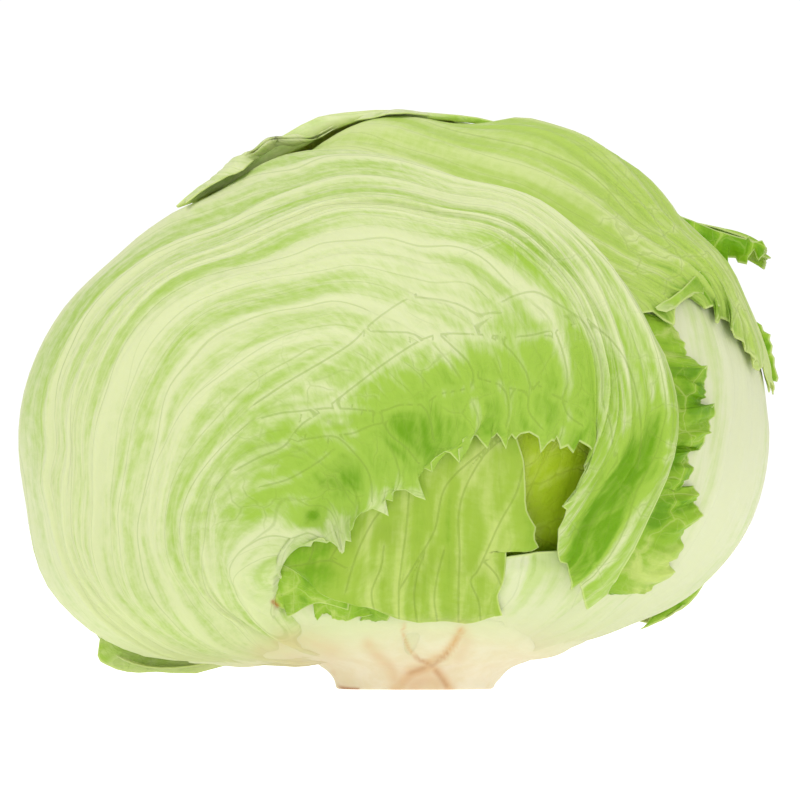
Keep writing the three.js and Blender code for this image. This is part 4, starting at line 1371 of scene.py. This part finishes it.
# Marks on the front: a line of pixel places, its width in millimetres and its strength
WARM_MARKS = [
    ([(403, 622), (404, 636), (409, 648), (418, 658), (432, 664)], 0.4, 0.6),
    ([(428, 662), (444, 655), (453, 643), (461, 629)], 1.0, 0.8),
    ([(461, 629), (466, 640), (458, 656)], 1.8, 0.28),
    ([(428, 667), (412, 673), (402, 682), (397, 689)], 1.8, 0.6),
    ([(434, 668), (443, 677), (449, 688)], 1.3, 0.6),
    ([(414, 684), (426, 678), (436, 683)], 2.6, 0.45),
    ([(368, 643), (378, 655), (390, 666), (395, 678)], 1.5, 0.42),
    ([(284, 641), (310, 640), (332, 650)], 2.6, 0.3),
    ([(262, 650), (300, 656)], 2.2, 0.2),
    ([(333, 672), (336, 686)], 0.7, 0.4),
]
BROWN_MARKS = [
    ([(416, 657), (432, 665), (447, 653)], 0.5, 0.4),
    ([(424, 667), (410, 672)], 0.6, 0.35),
    ([(436, 670), (446, 685)], 0.6, 0.35),
    ([(335, 686), (345, 688), (358, 689)], 0.45, 0.8),
    ([(274, 600), (278, 604)], 0.5, 0.9),
]


def marks(points, lines):
    total = np.zeros(points.shape[:-1])
    for places, width, strength in lines:
        away = np.abs(beside(points, places)) / width
        total = np.maximum(total, strength * np.exp(-away * away))
    return total * smoothstep(-points[..., 1], 2, 8)


# The stem's side, radius and height, up from the cut face, and its core inside the heart
STEM_SIDE = [(17.4, 0), (18.0, 0.4), (18.5, 1.6), (19.4, 3.0), (21.6, 4.9), (25.5, 6.5)]
STEM_CORE = [(28, 19), (20, 26), (13, 38), (7, 49), (2, 53.5)]
STEM_TOP = 54.0
CUT_FACE_RINGS = (4, 8, 12, 15, 16.6)
# Where the stem spreads into the leaves' bases: degrees from straight down and height over the skin
STEM_SPREAD = [(29, 1.0), (32, 0.9), (35, -0.1), (39, -2.4)]


def make_stem():
    """The cut stem: a flat cut face, a side turned round the axis, and above it the leaf skin itself,
    over which the stem's flesh spreads and thins out. radius is scaled by 1 + waves(angle), which fade
    out at the cut face."""
    columns, rows = 240, 90
    angle = np.linspace(0, 2 * np.pi, columns, endpoint=False)
    turn = np.stack([np.cos(angle), np.sin(angle)], -1)

    def ring(radius, height):
        return np.concatenate([turn * radius, np.full((columns, 1), float(height))], -1)

    def skin_ring(theta, height):
        theta = np.radians(theta)
        e = np.concatenate([turn * np.sin(theta), np.full((columns, 1), -np.cos(theta))], -1)
        return point_at(e, height)

    lines = [ring(*place) for place in STEM_SIDE] + [skin_ring(*place) for place in STEM_SPREAD]
    side = catmull(np.stack(lines + [ring(*place) for place in STEM_CORE]), rows)
    height, radius = side[..., 2], np.hypot(side[..., 0], side[..., 1])
    waves = 0.016 * np.sin(3 * angle + 1) + 0.012 * np.sin(7 * angle + 2) + 0.006 * np.sin(13 * angle)
    lumps = 0.01 * noise(angle * 5 + 0 * height, height / 2.5, 3)
    share = smoothstep(height, 0.3, 3) * smoothstep(radius, 4, 12)
    side[..., :2] *= (1 + (waves + lumps) * share)[..., None]
    cap = np.stack([ring(radius, 0) for radius in CUT_FACE_RINGS])
    return closed("stem_flesh", np.concatenate([cap, side]), (0, 0, 0), (0, 0, STEM_TOP), stem_masks)


def stem_material():
    """Moist cream flesh, faintly mottled, with fine fibres up the side and orange and brown cut marks."""
    material, graph, shader = new_material("stem_flesh")
    place = graph.node("ShaderNodeTexCoord").outputs["Object"]
    mottle = graph.noise(place, 180.0, 5.0, rough=0.6).outputs["Fac"]
    stretched = graph.node("ShaderNodeMapping", None, Vector=place, Scale=(700.0, 700.0, 90.0))
    fibre = graph.noise(stretched.outputs[0], 1.0, 3.0).outputs["Fac"]
    tone = graph.mix(graph.ramp(mottle, 0.35, 0.65), colour(246, 234, 202), colour(252, 243, 220))
    tone = graph.mix(graph.attribute("cream"), colour(228, 234, 186), tone)
    uneven = graph.ramp(mottle, 0.3, 0.6, 0.55, 1.0)
    tone = graph.mix(graph.mul(graph.attribute("warm"), uneven), tone, WARM)
    tone = graph.mix(graph.attribute("brown"), tone, BROWN)
    finish_flesh(graph, shader, tone, graph.add(mottle, fibre), 0.3, 0.0004, glow_reach=STEM_GLOW_REACH)
    graph.join((graph.ramp(mottle, 0.3, 0.7, 0.4, 0.6), shader.inputs["Roughness"]))
    return material


def make_heart():
    """The heart: the head's own skin drawn in by HEART_DEPTH, with the dent behind the front leaves."""
    columns, rows = 96, 48
    reach = np.linspace(0, 180, rows + 1)[1:-1]
    bearing = np.arange(columns) * 360 / columns
    b, r = np.meshgrid(bearing, reach)
    e = direction(np.stack([b.ravel(), r.ravel()], -1)).reshape(rows - 1, columns, 3)
    ends = direction([(0, 0), (0, 180)])
    lumps = 0.5 * noise(b / 12, r / 14, 31) * np.sin(np.radians(r))
    rings = point_at(e, -HEART_DEPTH - bump(e, HOLLOW) + lumps)
    low, high = point_at(ends, -HEART_DEPTH - bump(ends, HOLLOW))
    return closed("heart_ball", rings, low, high, lambda points: {})


def heart_material():
    """Pale yellow-green inner leaves, faintly mottled."""
    material, graph, shader = new_material("heart_flesh")
    place = graph.node("ShaderNodeTexCoord").outputs["Object"]
    mottle = graph.noise(place, 60.0, 4.0, rough=0.6).outputs["Fac"]
    tone = graph.mix(graph.ramp(mottle, 0.35, 0.65), colour(190, 214, 70), colour(216, 230, 124))
    finish_flesh(graph, shader, tone, mottle, 0.3, 0.0006)
    shader.inputs["Roughness"].default_value = 0.5
    return material


def make_camera():
    """A very long lens square to the front, with the photo's frame 182.8 mm wide at the head."""
    lens, sensor, frame_width = 1200.0, 36.0, 800 * VIEW_SCALE * MM
    x, z = in_view([(400, 400)])[0] * MM
    distance = frame_width * lens / sensor
    data = bpy.data.cameras.new("camera")
    data.lens = lens
    data.sensor_width = sensor
    data.clip_end = 50
    camera = placed("camera", data)
    camera.location = (x, -distance, z)
    camera.rotation_euler = (np.pi / 2, 0, 0)
    bpy.context.scene.camera = camera


def make_studio():
    """A glowing white floor and surround, as on a light table, and two large soft lights."""
    mesh = bpy.data.meshes.new("floor")
    half = 8.0
    corners = [(-half, -half, 0), (half, -half, 0), (half, half, 0), (-half, half, 0)]
    mesh.from_pydata(corners, [], [(0, 1, 2, 3)])
    floor = placed("floor", mesh)
    paint, graph, shader = new_material("floor")
    shader.inputs["Base Color"].default_value = (0.8, 0.8, 0.8, 1)
    shader.inputs["Roughness"].default_value = 0.9
    shader.inputs["Specular IOR Level"].default_value = 0.0
    shader.inputs["Emission Color"].default_value = (1, 1, 1, 1)
    seen = graph.node("ShaderNodeLightPath").outputs["Is Camera Ray"]
    graph.tree.links.new(graph.ramp(seen, 0.0, 1.0, 0.4, 1.0), shader.inputs["Emission Strength"])
    mesh.materials.append(paint)

    world = bpy.data.worlds.new("surround")
    world.use_nodes = True
    graph = Graph(world.node_tree)
    background = world.node_tree.nodes["Background"]
    seen = graph.node("ShaderNodeLightPath").outputs["Is Camera Ray"]
    graph.tree.links.new(graph.ramp(seen, 0.0, 1.0, 0.64, 1.05), background.inputs["Strength"])
    background.inputs["Color"].default_value = (1, 1, 1, 1)
    bpy.context.scene.world = world

    for name, place, size, power in (
        ("key", (-0.7, -1.0, 1.9), 1.2, 17.0),
        ("fill", (1.4, -1.2, 0.8), 1.2, 4.0),
    ):
        light = bpy.data.lights.new(name, "AREA")
        light.size = size
        light.energy = power
        lamp = placed(name, light)
        lamp.location = place
        lamp.rotation_euler = (Vector((0, 0, 0.06)) - Vector(place)).to_track_quat("-Z", "Y").to_euler()
    bpy.context.scene.view_settings.view_transform = "Standard"


make_camera()
make_studio()

GROUPS = {"veins": vein_group(), "net": net_group(), "streaks": streak_group()}
FLESH = {
    "wrapper": leaf_material(
        "wrapper_leaf", PALE, GREEN, DEEP, streak=0.22, net_from=0.18, mesh=0.6, size=0.011,
    ),
    "pale": leaf_material(
        "pale_leaf", PALE_WHITE, colour(208, 226, 150), GREEN, streak=0.45, line=0.16, net_from=0.6,
    ),
    "torn": leaf_material(
        "torn_leaf", colour(202, 220, 122), colour(162, 194, 64), colour(124, 172, 22),
        spacing=0.016, streak=0.26, halo=0.3, net_from=0.8, along=0.25,
    ),
    "inner": leaf_material(
        "inner_leaf", colour(206, 232, 88), colour(184, 218, 34), colour(166, 206, 2), line=0.3, glow=0.3,
    ),
    "dark": leaf_material(
        "dark_leaf", colour(202, 222, 118), colour(150, 192, 48), colour(108, 160, 4),
        line=0.5, light_net=0.85, net_from=0.2,
    ),
    "shoulder": leaf_material(
        "shoulder_leaf", colour(212, 228, 148), colour(180, 210, 94), colour(124, 172, 26),
        streak=0.28, net_from=0.35, line=0.36,
    ),
}
FLESH_OF = {
    "heart_leaf": "inner", "torn_leaf": "torn", "pale_base_leaf": "pale", "inner_base_leaf": "pale",
    "right_leaf": "pale", "frilled_leaf": "dark", "small_frill_leaf": "dark", "tucked_leaf": "dark",
    "upper_tip_leaf": "dark", "shoulder_leaf": "shoulder",
}

for number, name in enumerate(ORDER):
    s = leaf_surface(name, 11 + number)
    piece = shell(name + "_blade", s, masks_of(name, s))
    piece.data.materials.append(FLESH[FLESH_OF.get(name, "wrapper")])
    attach(piece, "root")
    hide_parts(name)

# Parts too small for the solids: name, the leaf each belongs to, its material, and its shape
STRIPS = [
    ("top_roll", "top_back_leaf", "wrapper",
     strip(ROLL_TOP, ROLL_UNDER, 41, depth=-2.2, front=1.8, back=1.6, columns=220)),
    ("tip_curl", "upper_tip_leaf", "dark",
     strip(TIP_TOP, TIP_UNDER, 42, depth=9.0, slant=-3.0, front=2.2, back=-1.6)),
    ("shoulder_flap", "shoulder_leaf", "wrapper", strip(FLAP_TOP, FLAP_UNDER, 43, on="shoulder_leaf")),
    ("side_frill", "shoulder_leaf", "dark",
     strip(FRILL_LEFT, FRILL_RIGHT, 46, depth=3.0, front=1.6, back=-0.9)),
    ("left_slip", "left_back_leaf", "wrapper", strip(LEFT_SLIP_TOP, LEFT_SLIP_UNDER, 44, depth=9.0)),
    ("right_slip", "right_back_leaf", "wrapper", strip(RIGHT_SLIP_TOP, RIGHT_SLIP_UNDER, 45, depth=9.0)),
]
for name, node, flesh, s in STRIPS:
    piece = shell(name, s, masks_of(name, s))
    piece.data.materials.append(FLESH[flesh])
    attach(piece, "root")
    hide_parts(node)

stem = make_stem()
stem.data.materials.append(stem_material())
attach(stem, "root")
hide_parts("stem")

heart = make_heart()
heart.data.materials.append(heart_material())
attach(heart, "root")
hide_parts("heart")
